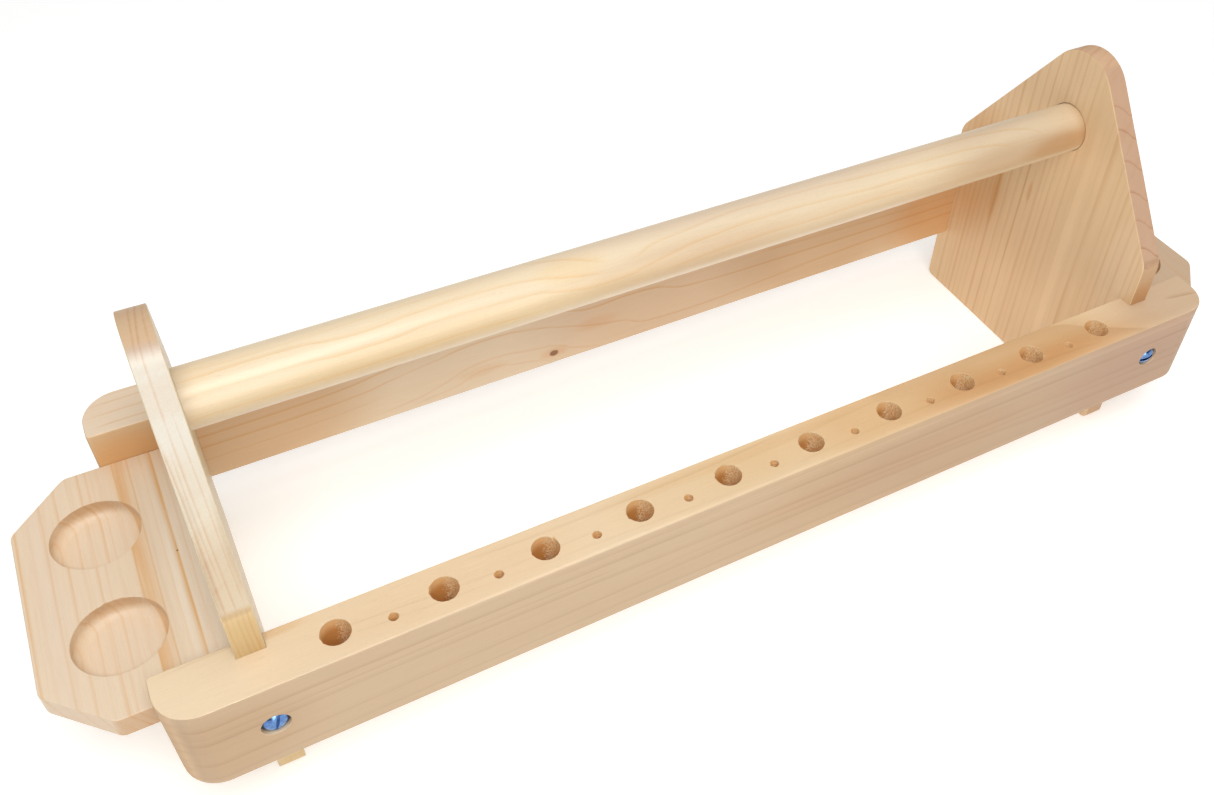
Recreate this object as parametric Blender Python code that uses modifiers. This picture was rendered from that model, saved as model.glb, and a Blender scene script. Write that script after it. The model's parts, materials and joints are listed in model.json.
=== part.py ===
"""Wooden tool storage caddy.

Two long drilled rails hold two gable-shaped end panels, a round handle runs between the panels,
and an eight-sided tray sits between the rails at each end, outside the panels.
X runs along the rails, Y from the front rail to the back rail, Z is up. Metres.
The origin is on the ground, under the middle of the caddy.
"""
import math

import bmesh
import bpy
from mathutils import Matrix, Vector

# Fit between neighbouring pieces.
GAP = 0.0003

# Rails: two square-edged battens whose outer end corners are rounded.
RAIL_LENGTH = 0.400
RAIL_WIDTH = 0.019
RAIL_HEIGHT = 0.0365
RAIL_SPACING = 0.100
RAIL_END_RADIUS = 0.012
RAIL_TOP = 0.065
RAIL_BOTTOM = RAIL_TOP - RAIL_HEIGHT
RAIL_INNER_Y = RAIL_SPACING / 2
RAIL_OUTER_Y = RAIL_INNER_Y + RAIL_WIDTH
RAIL_MIDDLE_Y = RAIL_INNER_Y + RAIL_WIDTH / 2

# Tool holes: large ones along the middle of each rail, a small one between each two of them.
LARGE_HOLE_COUNT = 10
LARGE_HOLE_PITCH = 0.0329
LARGE_HOLE_RADIUS = 0.0045
LARGE_HOLE_DEPTH = 0.022
SMALL_HOLE_RADIUS = 0.0015
SMALL_HOLE_DEPTH = 0.018
SMALL_HOLE_OUTWARD = 0.0025
FIRST_HOLE_INSET = 0.0186

# End panels: boards with upright grain, let into the inner faces of the rails.
BAY_LENGTH = 0.336
BOARD_THICKNESS = 0.0085
NOTCH_DEPTH = 0.0055
PANEL_HALF_WIDTH = RAIL_INNER_Y + NOTCH_DEPTH
PANEL_SHOULDER_Z = 0.0837
PANEL_SHOULDER_RADIUS = 0.010
PANEL_FOOT_RADIUS = 0.003
PANEL_APEX_CENTRE_Z = 0.1305
PANEL_APEX_RADIUS = 0.0165
PANEL_MIDDLE_X = (BAY_LENGTH + BOARD_THICKNESS) / 2
PANEL_OUTER_X = BAY_LENGTH / 2 + BOARD_THICKNESS

# Handle: a round dowel in blind sockets.
HANDLE_RADIUS = 0.0095
HANDLE_Z = 0.115
SOCKET_DEPTH = 0.0025

# Trays: boards with two round recesses each, whose corners are cut by hand and differ a little.
TRAY_TOP = 0.0506
TRAY_OUTER_X = 0.2295
TRAY_CORNER_CUTS = {"left": 0.018, "right": 0.0145}
TRAY_CORNER_RADII = {"left": 0.004, "right": 0.006}
RECESS_RADIUS = 0.01375
RECESS_DEPTH = 0.006
RECESS_FILLET = 0.0035
RECESS_FILLET_STEPS = 4
RECESS_XS = {"left": 0.2055, "right": 0.2065}
RECESS_Y = 0.0212

# Slotted round-head screws.
SCREW_HEAD_RADIUS = 0.0041
SCREW_HEAD_HEIGHT = 0.0026
SCREW_RIM_HEIGHT = 0.0009
SCREW_SHANK_RADIUS = 0.00175
SCREW_LENGTH = 0.024
SCREW_TIP_LENGTH = 0.004
SCREW_SLOT_WIDTH = 0.0013
SCREW_SLOT_DEPTH = 0.0013
SCREW_DOME_STEPS = 4
RAIL_SCREW_SLOT_TURNS = {("front", "left"): 70, ("front", "right"): 15,
                         ("back", "left"): 40, ("back", "right"): 120}
HANDLE_SCREW_SLOT_TURNS = {"left": -30, "right": 30}
RAIL_SCREW_Z = 0.0468
COUNTERBORE_RADIUS = 0.0043
COUNTERBORE_DEPTH = 0.0024
RAIL_SCREW_SEAT_Y = RAIL_OUTER_Y - COUNTERBORE_DEPTH
HANDLE_SCREW_SEAT_X = PANEL_OUTER_X - COUNTERBORE_DEPTH

# Tray pins: short wooden dowels between tray and rail.
PIN_RADIUS = 0.002
PIN_LENGTH = 0.016
PIN_XS = (0.183, 0.194)

# Facets, and the smallest lengths.
LARGE_ROUND = 32
HOLE_ROUND = 24
SMALL_ROUND = 12
ARC_STEP = math.radians(12)
SHARP_ANGLE = math.radians(30)
MERGE = 0.00001
THROUGH = 0.002

SIDES = (("left", -1), ("right", 1))
ROWS = (("front", -1), ("back", 1))


def clear_scene():
    for thing in list(bpy.data.objects):
        bpy.data.objects.remove(thing, do_unlink=True)


def new_collection(name):
    collection = bpy.data.collections.new(name)
    bpy.context.scene.collection.children.link(collection)
    return collection


def new_material(name, colour, roughness, metallic=0.0):
    material = bpy.data.materials.new(name)
    material.use_nodes = True
    shader = material.node_tree.nodes["Principled BSDF"]
    shader.inputs["Base Color"].default_value = (*colour, 1.0)
    shader.inputs["Roughness"].default_value = roughness
    shader.inputs["Metallic"].default_value = metallic
    material.diffuse_color = (*colour, 1.0)
    return material


def link_mesh(name, mesh, collection, material=None):
    thing = bpy.data.objects.new(name, mesh)
    collection.objects.link(thing)
    if material:
        mesh.materials.append(material)
    return thing


def rounded_outline(corners):
    """Turn corners (x, y, radius), listed anticlockwise, into points with round corners."""
    points = []
    for index, (x, y, radius) in enumerate(corners):
        corner = Vector((x, y))
        before = Vector(corners[index - 1][:2])
        after = Vector(corners[(index + 1) % len(corners)][:2])
        if not radius:
            points.append(corner)
            continue
        back = (before - corner).normalized()
        ahead = (after - corner).normalized()
        half_angle = back.angle(ahead) / 2
        centre = corner + (back + ahead).normalized() * radius / math.sin(half_angle)
        first = corner + back * radius / math.tan(half_angle) - centre
        turn = math.pi - 2 * half_angle
        steps = max(2, math.ceil(turn / ARC_STEP))
        for step in range(steps + 1):
            points.append(centre + Matrix.Rotation(turn * step / steps, 2) @ first)
    return points


def board(name, outline, thickness, matrix, collection, material):
    """Extrude a closed flat outline by half its thickness each way, as a mesh object."""
    curve = bpy.data.curves.new(name + "_outline", "CURVE")
    curve.dimensions = "2D"
    curve.fill_mode = "BOTH"
    curve.extrude = thickness / 2
    spline = curve.splines.new("POLY")
    spline.points.add(len(outline) - 1)
    for point, place in zip(spline.points, outline):
        point.co = (place[0], place[1], 0.0, 1.0)
    spline.use_cyclic_u = True
    guide = bpy.data.objects.new(name + "_outline", curve)
    collection.objects.link(guide)
    guide.matrix_world = matrix
    bpy.context.view_layer.update()
    evaluated = guide.evaluated_get(bpy.context.evaluated_depsgraph_get())
    mesh = bpy.data.meshes.new_from_object(evaluated)
    bpy.data.objects.remove(guide, do_unlink=True)
    weld(mesh)
    thing = link_mesh(name, mesh, collection, material)
    thing.matrix_world = matrix
    return thing


def weld(mesh):
    shape = bmesh.new()
    shape.from_mesh(mesh)
    bmesh.ops.remove_doubles(shape, verts=shape.verts, dist=MERGE)
    bmesh.ops.recalc_face_normals(shape, faces=shape.faces)
    shape.to_mesh(mesh)
    shape.free()


def rod_matrix(start, end):
    """Place for a rod modelled along Z about the origin, so that it runs from start to end."""
    start = Vector(start)
    end = Vector(end)
    turn = (end - start).to_track_quat("Z", "Y").to_matrix().to_4x4()
    return Matrix.Translation((start + end) / 2) @ turn


def add_rod(shape, start, end, radius, segments):
    length = (Vector(end) - Vector(start)).length
    bmesh.ops.create_cone(shape, cap_ends=True, segments=segments, radius1=radius,
                          radius2=radius, depth=length, matrix=rod_matrix(start, end))


def add_box(shape, low, high):
    low = Vector(low)
    high = Vector(high)
    place = Matrix.LocRotScale((low + high) / 2, None, high - low)
    bmesh.ops.create_cube(shape, size=1.0, matrix=place)


def finish_shape(name, shape, collection, material=None):
    mesh = bpy.data.meshes.new(name)
    bmesh.ops.recalc_face_normals(shape, faces=shape.faces)
    shape.to_mesh(mesh)
    shape.free()
    return link_mesh(name, mesh, collection, material)


def turned(name, profile, segments, place, collection, material=None):
    """Turn a half outline (radius, height), listed from top to bottom, about the Z axis of its place."""
    mesh = bpy.data.meshes.new(name)
    edges = [(index, index + 1) for index in range(len(profile) - 1)]
    mesh.from_pydata([(radius, 0, height) for radius, height in profile], edges, [])
    thing = link_mesh(name, mesh, collection, material)
    thing.matrix_world = place
    turning = thing.modifiers.new("turn", "SCREW")
    turning.axis = "Z"
    turning.steps = segments
    turning.render_steps = segments
    turning.use_merge_vertices = True
    turning.merge_threshold = MERGE
    bpy.context.view_layer.update()
    return thing


def cut(thing, shape, cutters):
    """Cut a piece with the bodies in a bmesh."""
    cut_with(thing, finish_shape(thing.name + "_cutter", shape, cutters))


def cut_with(thing, tool):
    tool.hide_render = True
    tool.display_type = "WIRE"
    modifier = thing.modifiers.new("cut", "BOOLEAN")
    modifier.operation = "DIFFERENCE"
    modifier.solver = "EXACT"
    modifier.object = tool


def smooth_round(thing):
    thing.data.shade_smooth()
    thing.data.set_sharp_from_angle(angle=SHARP_ANGLE)


def large_hole_xs():
    first = FIRST_HOLE_INSET - BAY_LENGTH / 2
    return [first + LARGE_HOLE_PITCH * index for index in range(LARGE_HOLE_COUNT)]


def add_tool_holes(shape, row):
    xs = large_hole_xs()
    top = RAIL_TOP + THROUGH
    y = row * RAIL_MIDDLE_Y
    for x in xs:
        add_rod(shape, (x, y, RAIL_TOP - LARGE_HOLE_DEPTH), (x, y, top), LARGE_HOLE_RADIUS, HOLE_ROUND)
    y = row * (RAIL_MIDDLE_Y + SMALL_HOLE_OUTWARD)
    for x in xs[:-1]:
        x += LARGE_HOLE_PITCH / 2
        add_rod(shape, (x, y, RAIL_TOP - SMALL_HOLE_DEPTH), (x, y, top), SMALL_HOLE_RADIUS, SMALL_ROUND)


def add_counterbore(shape, seat, outward):
    seat = Vector(seat)
    outward = Vector(outward)
    mouth = seat + outward * (COUNTERBORE_DEPTH + THROUGH)
    add_rod(shape, seat, mouth, COUNTERBORE_RADIUS, HOLE_ROUND)


def add_rail_joints(shape, row):
    """Notches for the panels in the inner face, and counterbores for the screw heads in the outer face."""
    for _, side in SIDES:
        x = side * PANEL_MIDDLE_X
        half = BOARD_THICKNESS / 2 + GAP
        ys = sorted((row * (RAIL_INNER_Y - THROUGH), row * (PANEL_HALF_WIDTH + GAP)))
        add_box(shape, (x - half, ys[0], RAIL_BOTTOM - THROUGH), (x + half, ys[1], RAIL_TOP + THROUGH))
        add_counterbore(shape, (x, row * RAIL_SCREW_SEAT_Y, RAIL_SCREW_Z), (0, row, 0))


def add_screw_holes(shape, row):
    """Clearance holes from the counterbores to the notches."""
    for _, side in SIDES:
        x = side * PANEL_MIDDLE_X
        inside = (x, row * (RAIL_INNER_Y + THROUGH), RAIL_SCREW_Z)
        outside = (x, row * (RAIL_SCREW_SEAT_Y + GAP), RAIL_SCREW_Z)
        add_rod(shape, inside, outside, SCREW_SHANK_RADIUS + GAP, SMALL_ROUND)


def add_pin_holes(shape, row):
    """Blind holes across the joints between one row's rail face and both trays."""
    reach = PIN_LENGTH / 2 + GAP
    for _, side in SIDES:
        for x in PIN_XS:
            near = (side * x, row * (RAIL_INNER_Y - reach), TRAY_TOP - BOARD_THICKNESS / 2)
            far = (side * x, row * (RAIL_INNER_Y + reach), TRAY_TOP - BOARD_THICKNESS / 2)
            add_rod(shape, near, far, PIN_RADIUS + GAP, SMALL_ROUND)


def make_rail(name, row, parts, cutters, material):
    half_length = RAIL_LENGTH / 2
    corners = [(-half_length, RAIL_INNER_Y, 0), (half_length, RAIL_INNER_Y, 0),
               (half_length, RAIL_OUTER_Y, RAIL_END_RADIUS), (-half_length, RAIL_OUTER_Y, RAIL_END_RADIUS)]
    outline = [(x, row * y) for x, y in rounded_outline(corners)]
    if row < 0:
        outline.reverse()
    place = Matrix.Translation((0, 0, (RAIL_TOP + RAIL_BOTTOM) / 2))
    rail = board(name, outline, RAIL_HEIGHT, place, parts, material)
    for add in (add_rail_joints, add_screw_holes, add_tool_holes, add_pin_holes):
        shape = bmesh.new()
        add(shape, row)
        cut(rail, shape, cutters)
    smooth_round(rail)


def panel_outline():
    """Gable outline in (Y, Z): straight slopes tangent to the round apex, with round shoulders."""
    shoulder = Vector((PANEL_HALF_WIDTH, PANEL_SHOULDER_Z))
    centre = Vector((0, PANEL_APEX_CENTRE_Z))
    to_centre = centre - shoulder
    lean = math.asin(PANEL_APEX_RADIUS / to_centre.length)
    slope = Matrix.Rotation(-lean, 2) @ to_centre.normalized()
    peak_z = shoulder.y + slope.y * (-shoulder.x / slope.x)
    half = [(PANEL_HALF_WIDTH, 0, PANEL_FOOT_RADIUS),
            (PANEL_HALF_WIDTH, PANEL_SHOULDER_Z, PANEL_SHOULDER_RADIUS)]
    apex = [(0, peak_z, PANEL_APEX_RADIUS)]
    mirrored = [(-y, z, radius) for y, z, radius in reversed(half)]
    return rounded_outline(half + apex + mirrored)


def make_panel(name, side, parts, cutters, material):
    upright = Matrix.Rotation(math.pi / 2, 4, "Z") @ Matrix.Rotation(math.pi / 2, 4, "X")
    place = Matrix.Translation((side * PANEL_MIDDLE_X, 0, 0)) @ upright
    panel = board(name, panel_outline(), BOARD_THICKNESS, place, parts, material)
    inner = side * (BAY_LENGTH / 2 - THROUGH)
    floor = side * (BAY_LENGTH / 2 + SOCKET_DEPTH)
    shape = bmesh.new()
    add_rod(shape, (inner, 0, HANDLE_Z), (floor, 0, HANDLE_Z), HANDLE_RADIUS + GAP, LARGE_ROUND)
    add_counterbore(shape, (side * HANDLE_SCREW_SEAT_X, 0, HANDLE_Z), (side, 0, 0))
    cut(panel, shape, cutters)
    shape = bmesh.new()
    outside = side * (HANDLE_SCREW_SEAT_X + GAP)
    add_rod(shape, (inner, 0, HANDLE_Z), (outside, 0, HANDLE_Z), SCREW_SHANK_RADIUS + GAP, SMALL_ROUND)
    for _, row in ROWS:
        start = (side * PANEL_MIDDLE_X, row * (RAIL_SCREW_SEAT_Y - SCREW_LENGTH), RAIL_SCREW_Z)
        end = (side * PANEL_MIDDLE_X, row * RAIL_SCREW_SEAT_Y, RAIL_SCREW_Z)
        add_rod(shape, start, end, SCREW_SHANK_RADIUS + GAP, SMALL_ROUND)
    cut(panel, shape, cutters)
    smooth_round(panel)


def make_handle(name, parts, cutters, material):
    end = BAY_LENGTH / 2 + SOCKET_DEPTH - GAP
    shape = bmesh.new()
    add_rod(shape, (-end, 0, HANDLE_Z), (end, 0, HANDLE_Z), HANDLE_RADIUS, LARGE_ROUND)
    handle = finish_shape(name, shape, parts, material)
    shape = bmesh.new()
    for _, side in SIDES:
        deep = (side * (HANDLE_SCREW_SEAT_X - SCREW_LENGTH), 0, HANDLE_Z)
        outside = (side * (end + THROUGH), 0, HANDLE_Z)
        add_rod(shape, deep, outside, SCREW_SHANK_RADIUS + GAP, SMALL_ROUND)
    cut(handle, shape, cutters)
    smooth_round(handle)


def recess_profile():
    """Half outline (radius, height) of a recess below the tray's top, with a fillet into its flat floor."""
    inner = RECESS_RADIUS - RECESS_FILLET
    profile = [(0, THROUGH), (RECESS_RADIUS, THROUGH)]
    for step in range(RECESS_FILLET_STEPS + 1):
        angle = math.pi / 2 * step / RECESS_FILLET_STEPS
        radius = inner + RECESS_FILLET * math.cos(angle)
        profile.append((radius, RECESS_FILLET * (1 - math.sin(angle)) - RECESS_DEPTH))
    return profile + [(0, -RECESS_DEPTH)]


def make_tray(side_name, side, parts, cutters, material):
    inner_x = PANEL_OUTER_X + GAP
    half_width = RAIL_INNER_Y - GAP
    short = half_width - TRAY_CORNER_CUTS[side_name]
    cut_x = TRAY_OUTER_X - TRAY_CORNER_CUTS[side_name]
    radius = TRAY_CORNER_RADII[side_name]
    corners = [(inner_x, -half_width, 0), (cut_x, -half_width, radius),
               (TRAY_OUTER_X, -short, radius), (TRAY_OUTER_X, short, radius),
               (cut_x, half_width, radius), (inner_x, half_width, 0)]
    outline = [(side * x, y) for x, y in rounded_outline(corners)]
    if side < 0:
        outline.reverse()
    place = Matrix.Translation((0, 0, TRAY_TOP - BOARD_THICKNESS / 2))
    tray = board(side_name + "_tray", outline, BOARD_THICKNESS, place, parts, material)
    for row_name, row in ROWS:
        middle = Matrix.Translation((side * RECESS_XS[side_name], row * RECESS_Y, TRAY_TOP))
        name = side_name + "_" + row_name + "_recess_cutter"
        cut_with(tray, turned(name, recess_profile(), LARGE_ROUND, middle, cutters))
    shape = bmesh.new()
    for _, row in ROWS:
        add_pin_holes(shape, row)
    cut(tray, shape, cutters)
    smooth_round(tray)


def screw_profile():
    """Half outline (radius, height) of a screw, from the top of its domed head to its tip."""
    dome_height = SCREW_HEAD_HEIGHT - SCREW_RIM_HEIGHT
    profile = []
    for step in range(SCREW_DOME_STEPS + 1):
        angle = math.pi / 2 * step / SCREW_DOME_STEPS
        radius = SCREW_HEAD_RADIUS * math.sin(angle)
        profile.append((radius, SCREW_RIM_HEIGHT + dome_height * math.cos(angle)))
    profile += [(SCREW_HEAD_RADIUS, 0), (SCREW_SHANK_RADIUS, 0),
                (SCREW_SHANK_RADIUS, SCREW_TIP_LENGTH - SCREW_LENGTH), (0, -SCREW_LENGTH)]
    return profile


def make_screw(name, seat, outward, slot_turn, parts, cutters, material):
    """A screw whose head rests one gap clear of its seat and points along the outward axis."""
    outward = Vector(outward)
    facing = outward.to_track_quat("Z", "Y").to_matrix().to_4x4()
    place = Matrix.Translation(Vector(seat) + outward * GAP) @ facing
    screw = turned(name, screw_profile(), HOLE_ROUND, place, parts, material)
    reach = SCREW_HEAD_RADIUS + THROUGH
    side = SCREW_SLOT_WIDTH / 2
    floor = SCREW_HEAD_HEIGHT - SCREW_SLOT_DEPTH
    shape = bmesh.new()
    add_box(shape, (-reach, -side, floor), (reach, side, SCREW_HEAD_HEIGHT + THROUGH))
    bmesh.ops.rotate(shape, verts=shape.verts, matrix=Matrix.Rotation(slot_turn, 3, "Z"))
    bmesh.ops.transform(shape, verts=shape.verts, matrix=screw.matrix_world)
    cut(screw, shape, cutters)


def make_screws(parts, cutters, material):
    for row_name, row in ROWS:
        for side_name, side in SIDES:
            seat = (side * PANEL_MIDDLE_X, row * RAIL_SCREW_SEAT_Y, RAIL_SCREW_Z)
            turn = math.radians(RAIL_SCREW_SLOT_TURNS[row_name, side_name])
            name = row_name + "_" + side_name + "_rail_screw"
            make_screw(name, seat, (0, row, 0), turn, parts, cutters, material)
    for side_name, side in SIDES:
        seat = (side * HANDLE_SCREW_SEAT_X, 0, HANDLE_Z)
        turn = math.radians(HANDLE_SCREW_SLOT_TURNS[side_name])
        name = side_name + "_handle_screw"
        make_screw(name, seat, (side, 0, 0), turn, parts, cutters, material)


def make_pins(parts, material):
    z = TRAY_TOP - BOARD_THICKNESS / 2
    for side_name, side in SIDES:
        for row_name, row in ROWS:
            for place_name, x in zip(("inner", "outer"), PIN_XS):
                near = (side * x, row * (RAIL_INNER_Y - PIN_LENGTH / 2), z)
                far = (side * x, row * (RAIL_INNER_Y + PIN_LENGTH / 2), z)
                shape = bmesh.new()
                add_rod(shape, near, far, PIN_RADIUS, SMALL_ROUND)
                name = side_name + "_tray_" + row_name + "_" + place_name + "_pin"
                pin = finish_shape(name, shape, parts, material)
                smooth_round(pin)


def main():
    clear_scene()
    parts = new_collection("tool_storage_caddy")
    cutters = new_collection("cutters")
    rail_pine = new_material("rail_pine", (0.62, 0.42, 0.24), 0.5)
    panel_pine = new_material("panel_pine", (0.62, 0.41, 0.22), 0.5)
    tray_pine = new_material("tray_pine", (0.74, 0.53, 0.34), 0.5)
    handle_pine = new_material("handle_pine", (0.78, 0.60, 0.36), 0.4)
    pin_beech = new_material("pin_beech", (0.60, 0.42, 0.26), 0.6)
    blue_zinc = new_material("blue_zinc", (0.42, 0.52, 0.72), 0.3, 1.0)
    for row_name, row in ROWS:
        make_rail(row_name + "_rail", row, parts, cutters, rail_pine)
    for side_name, side in SIDES:
        make_panel(side_name + "_end_panel", side, parts, cutters, panel_pine)
        make_tray(side_name, side, parts, cutters, tray_pine)
    make_handle("handle_dowel", parts, cutters, handle_pine)
    make_screws(parts, cutters, blue_zinc)
    make_pins(parts, pin_beech)


main()
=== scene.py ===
"""Tool storage caddy in pine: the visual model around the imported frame, with its camera and studio.

X runs along the rails, Y from the front rail to the back rail, Z is up. Lengths are in metres,
and in millimetres in the materials, where a board's figure is drawn in the same frame.
"""
import json
import math
import random

import bmesh
import bpy
from mathutils import Matrix, Vector, noise


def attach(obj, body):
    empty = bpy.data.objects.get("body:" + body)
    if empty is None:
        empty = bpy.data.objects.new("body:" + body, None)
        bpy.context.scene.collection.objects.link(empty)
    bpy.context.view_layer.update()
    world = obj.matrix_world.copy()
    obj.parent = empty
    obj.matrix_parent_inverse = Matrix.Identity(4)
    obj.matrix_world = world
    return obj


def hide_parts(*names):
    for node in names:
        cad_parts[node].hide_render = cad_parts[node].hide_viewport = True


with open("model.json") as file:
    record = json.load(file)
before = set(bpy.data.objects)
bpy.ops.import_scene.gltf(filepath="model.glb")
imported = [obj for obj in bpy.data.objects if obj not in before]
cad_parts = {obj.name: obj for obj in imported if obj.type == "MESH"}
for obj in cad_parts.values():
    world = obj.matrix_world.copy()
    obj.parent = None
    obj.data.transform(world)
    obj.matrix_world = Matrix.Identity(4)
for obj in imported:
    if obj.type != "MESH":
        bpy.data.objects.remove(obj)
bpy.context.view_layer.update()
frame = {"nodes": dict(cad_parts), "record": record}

# Clearance in drilled joints, the hairline in glued joints, and how far a cutter stands clear of a face.
GAP = 0.0003
HAIRLINE = 0.00005
CLEAR = 0.002

# Camera.
CAMERA_PLACE = Vector((-0.1633, -0.2692, 0.3610))
CAMERA_AIM = Vector((0.0131, 0.0165, 0.0450))
CAMERA_ROLL = math.radians(3.77)
CAMERA_LENS_MM = 34.75
CAMERA_SENSOR_MM = 36.0
CAMERA_SHIFT = (-0.0730, -0.0397)

# Studio: watts for the softboxes, radiance for the rest. The glint is seen only in reflections.
STUDIO_AIM = (0, 0, 0.05)
WHITE = (1.0, 1.0, 1.0)
WARM_WHITE = (1.0, 0.985, 0.96)
KEY_PLACE = (-0.16, -0.52, 0.90)
KEY_SIZE = 0.50
KEY_POWER = 6.0
TOP_PLACE = (0.15, 0.25, 1.30)
TOP_SIZE = 0.9
TOP_POWER = 2.0
GLINT_PLACE = (0.0, -1.05, 0.22)
GLINT_SIZE = 0.70
GLINT_POWER = 7.7
WALL_STRENGTH = 0.22
CEILING_STRENGTH = 0.62
FLOOR_GLOW = 0.34
FLOOR_HALF_SIZE = 6.0
FLOOR_ROUGHNESS = 0.7

# Boards: their eased edges, and how finely outlines and turned shapes are divided.
BOARD_THICKNESS = 0.0085
EDGE_EASE = 0.0005
EDGE_WEAR = 0.00015
EASE_STEPS = 4
OUTLINE_STEP = 0.006
ARC_STEP = math.radians(7.5)
SHARP_ANGLE = math.radians(32)
COARSE_TURN = 24
FINE_TURN = 64

# Rails.
RAIL_LENGTH = 0.400
RAIL_INNER_Y = 0.050
RAIL_OUTER_Y = 0.069
RAIL_TOP = 0.065
RAIL_BOTTOM = 0.0285
RAIL_END_RADIUS = 0.012
RAIL_INNER_CORNER_RADIUS = 0.0012
RUBBED_RADIUS = 0.0011
RUBBED_FROM_X = -0.17
RUBBED_FULL_X = -0.07
RUBBED_END = 0.02

# Tool holes.
LARGE_HOLE_RADIUS = 0.0045
LARGE_HOLE_DEPTH = 0.022
LARGE_HOLE_PITCH = 0.0329
LARGE_HOLE_CHIP = 0.0004
LARGE_HOLE_TURN = 84
SMALL_HOLE_RADIUS = 0.0015
SMALL_HOLE_DEPTH = 0.018
SMALL_HOLE_OUTWARD = 0.0025
SMALL_HOLE_CHIP = 0.0002
SMALL_HOLE_TURN = 36
HOLE_LIP = 0.00012
HOLE_WAVE = 0.006
HOLE_PULL = 0.012
HOLE_TEAR = 0.045
HOLE_ROWS = 22
HOLE_CONE_TIP = 0.05
HOLE_CONE_DEPTH = 0.5

# Chips in a hole's rim: how many, how far from the grain's direction and how wide in radians, how long.
CHIP_COUNTS = (2, 5)
CHIP_SPREAD = 0.7
CHIP_WIDTHS = (0.06, 0.13)
CHIP_LENGTHS = (0.3, 1.0)

# End panels.
PANEL_MIDDLE_X = 0.17225
PANEL_HALF_WIDTH = 0.0555
PANEL_SHOULDER_Z = 0.0837
PANEL_SHOULDER_RADIUS = 0.010
PANEL_FOOT_RADIUS = 0.003
PANEL_APEX_CENTRE_Z = 0.1305
PANEL_APEX_RADIUS = 0.0165
PANEL_EASES = {"left": 0.00035, "right": 0.00045}

# Handle.
HANDLE_RADIUS = 0.0095
HANDLE_Z = 0.115
HANDLE_END_X = 0.1702
HANDLE_CHAMFER = 0.0006
HANDLE_WEAR = 0.00008
HANDLE_TURN = 96
HANDLE_ROWS = 100
SOCKET_FLOOR_X = 0.1705
SOCKET_GAP = 0.00012
SOCKET_LIP = 0.0002
SOCKET_FLARE = 1.012

# Trays.
TRAY_TOP = 0.0506
TRAY_INNER_X = PANEL_MIDDLE_X + BOARD_THICKNESS / 2 + HAIRLINE
TRAY_OUTER_X = 0.2295
TRAY_HALF_WIDTH = RAIL_INNER_Y - HAIRLINE
TRAY_CORNER_CUTS = {"left": 0.018, "right": 0.0145}
TRAY_CORNER_RADII = {"left": 0.004, "right": 0.006}
RECESS_RADIUS = 0.01375
RECESS_DEPTH = 0.006
RECESS_FILLET = 0.0035
RECESS_TURN = 200
RECESS_TEAR = 0.00020
RECESS_ROWS = 6
FILLET_STEPS = 12
LIP = 0.00015

# Screws and pins.
SCREW_HEAD_RADIUS = 0.0041
SCREW_HEAD_HEIGHT = 0.0026
SCREW_RIM_HEIGHT = 0.0009
SCREW_SHANK_RADIUS = 0.00175
SCREW_LENGTH = 0.024
SCREW_TIP_LENGTH = 0.004
SCREW_POINT_RADIUS = 0.00005
SCREW_EDGE = 0.0001
SCREW_WEAR = 0.00008
DOME_STEPS = 10
SCREW_SLOT_WIDTH = 0.0013
SCREW_SLOT_DEPTH = 0.0013
RAIL_SCREW_SLOT_TURNS = {("front", "left"): 70, ("front", "right"): 15,
                         ("back", "left"): 40, ("back", "right"): 120}
HANDLE_SCREW_SLOT_TURNS = {"left": -30, "right": 30}
RAIL_SCREW_Z = 0.0468
COUNTERBORE_RADIUS = 0.0043
COUNTERBORE_DEPTH = 0.0024
RAIL_SEAT_Y = RAIL_OUTER_Y - COUNTERBORE_DEPTH
HANDLE_SEAT_X = PANEL_MIDDLE_X + BOARD_THICKNESS / 2 - COUNTERBORE_DEPTH
PIN_RADIUS = 0.002
PIN_REACH = 0.0083
PIN_XS = (0.183, 0.194)

SIDES = (("left", -1), ("right", 1))
ROWS = (("front", -1), ("back", 1))


# ---------------------------------------------------------------- shapes

def link(name, shape):
    """Make an object of a bmesh."""
    mesh = bpy.data.meshes.new(name)
    bmesh.ops.recalc_face_normals(shape, faces=shape.faces)
    shape.to_mesh(mesh)
    shape.free()
    piece = bpy.data.objects.new(name, mesh)
    bpy.context.scene.collection.objects.link(piece)
    return piece


def rounded_outline(corners):
    """Turn corners (x, y, radius), listed anticlockwise, into points with round corners."""
    points = []
    for index, (x, y, radius) in enumerate(corners):
        corner = Vector((x, y))
        back = (Vector(corners[index - 1][:2]) - corner).normalized()
        ahead = (Vector(corners[(index + 1) % len(corners)][:2]) - corner).normalized()
        half_angle = back.angle(ahead) / 2
        centre = corner + (back + ahead).normalized() * radius / math.sin(half_angle)
        first = corner + back * radius / math.tan(half_angle) - centre
        turn = math.pi - 2 * half_angle
        steps = max(2, math.ceil(turn / ARC_STEP))
        for step in range(steps + 1):
            points.append(centre + Matrix.Rotation(turn * step / steps, 2) @ first)
    return points


def divided(outline, longest):
    """The same closed outline with no straight stretch over the longest length."""
    points = []
    for index, point in enumerate(outline):
        after = outline[(index + 1) % len(outline)]
        steps = max(1, math.ceil((after - point).length / longest))
        points += [point.lerp(after, step / steps) for step in range(steps)]
    return points


def outward_offsets(outline):
    """For each point of an anticlockwise outline, the move that sets its edges out by one unit."""
    moves = []
    for index, point in enumerate(outline):
        before = (point - outline[index - 1]).normalized()
        after = (outline[(index + 1) % len(outline)] - point).normalized()
        one = Vector((before.y, -before.x))
        two = Vector((after.y, -after.x))
        middle = (one + two).normalized()
        moves.append(middle / middle.dot(one))
    return moves


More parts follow.
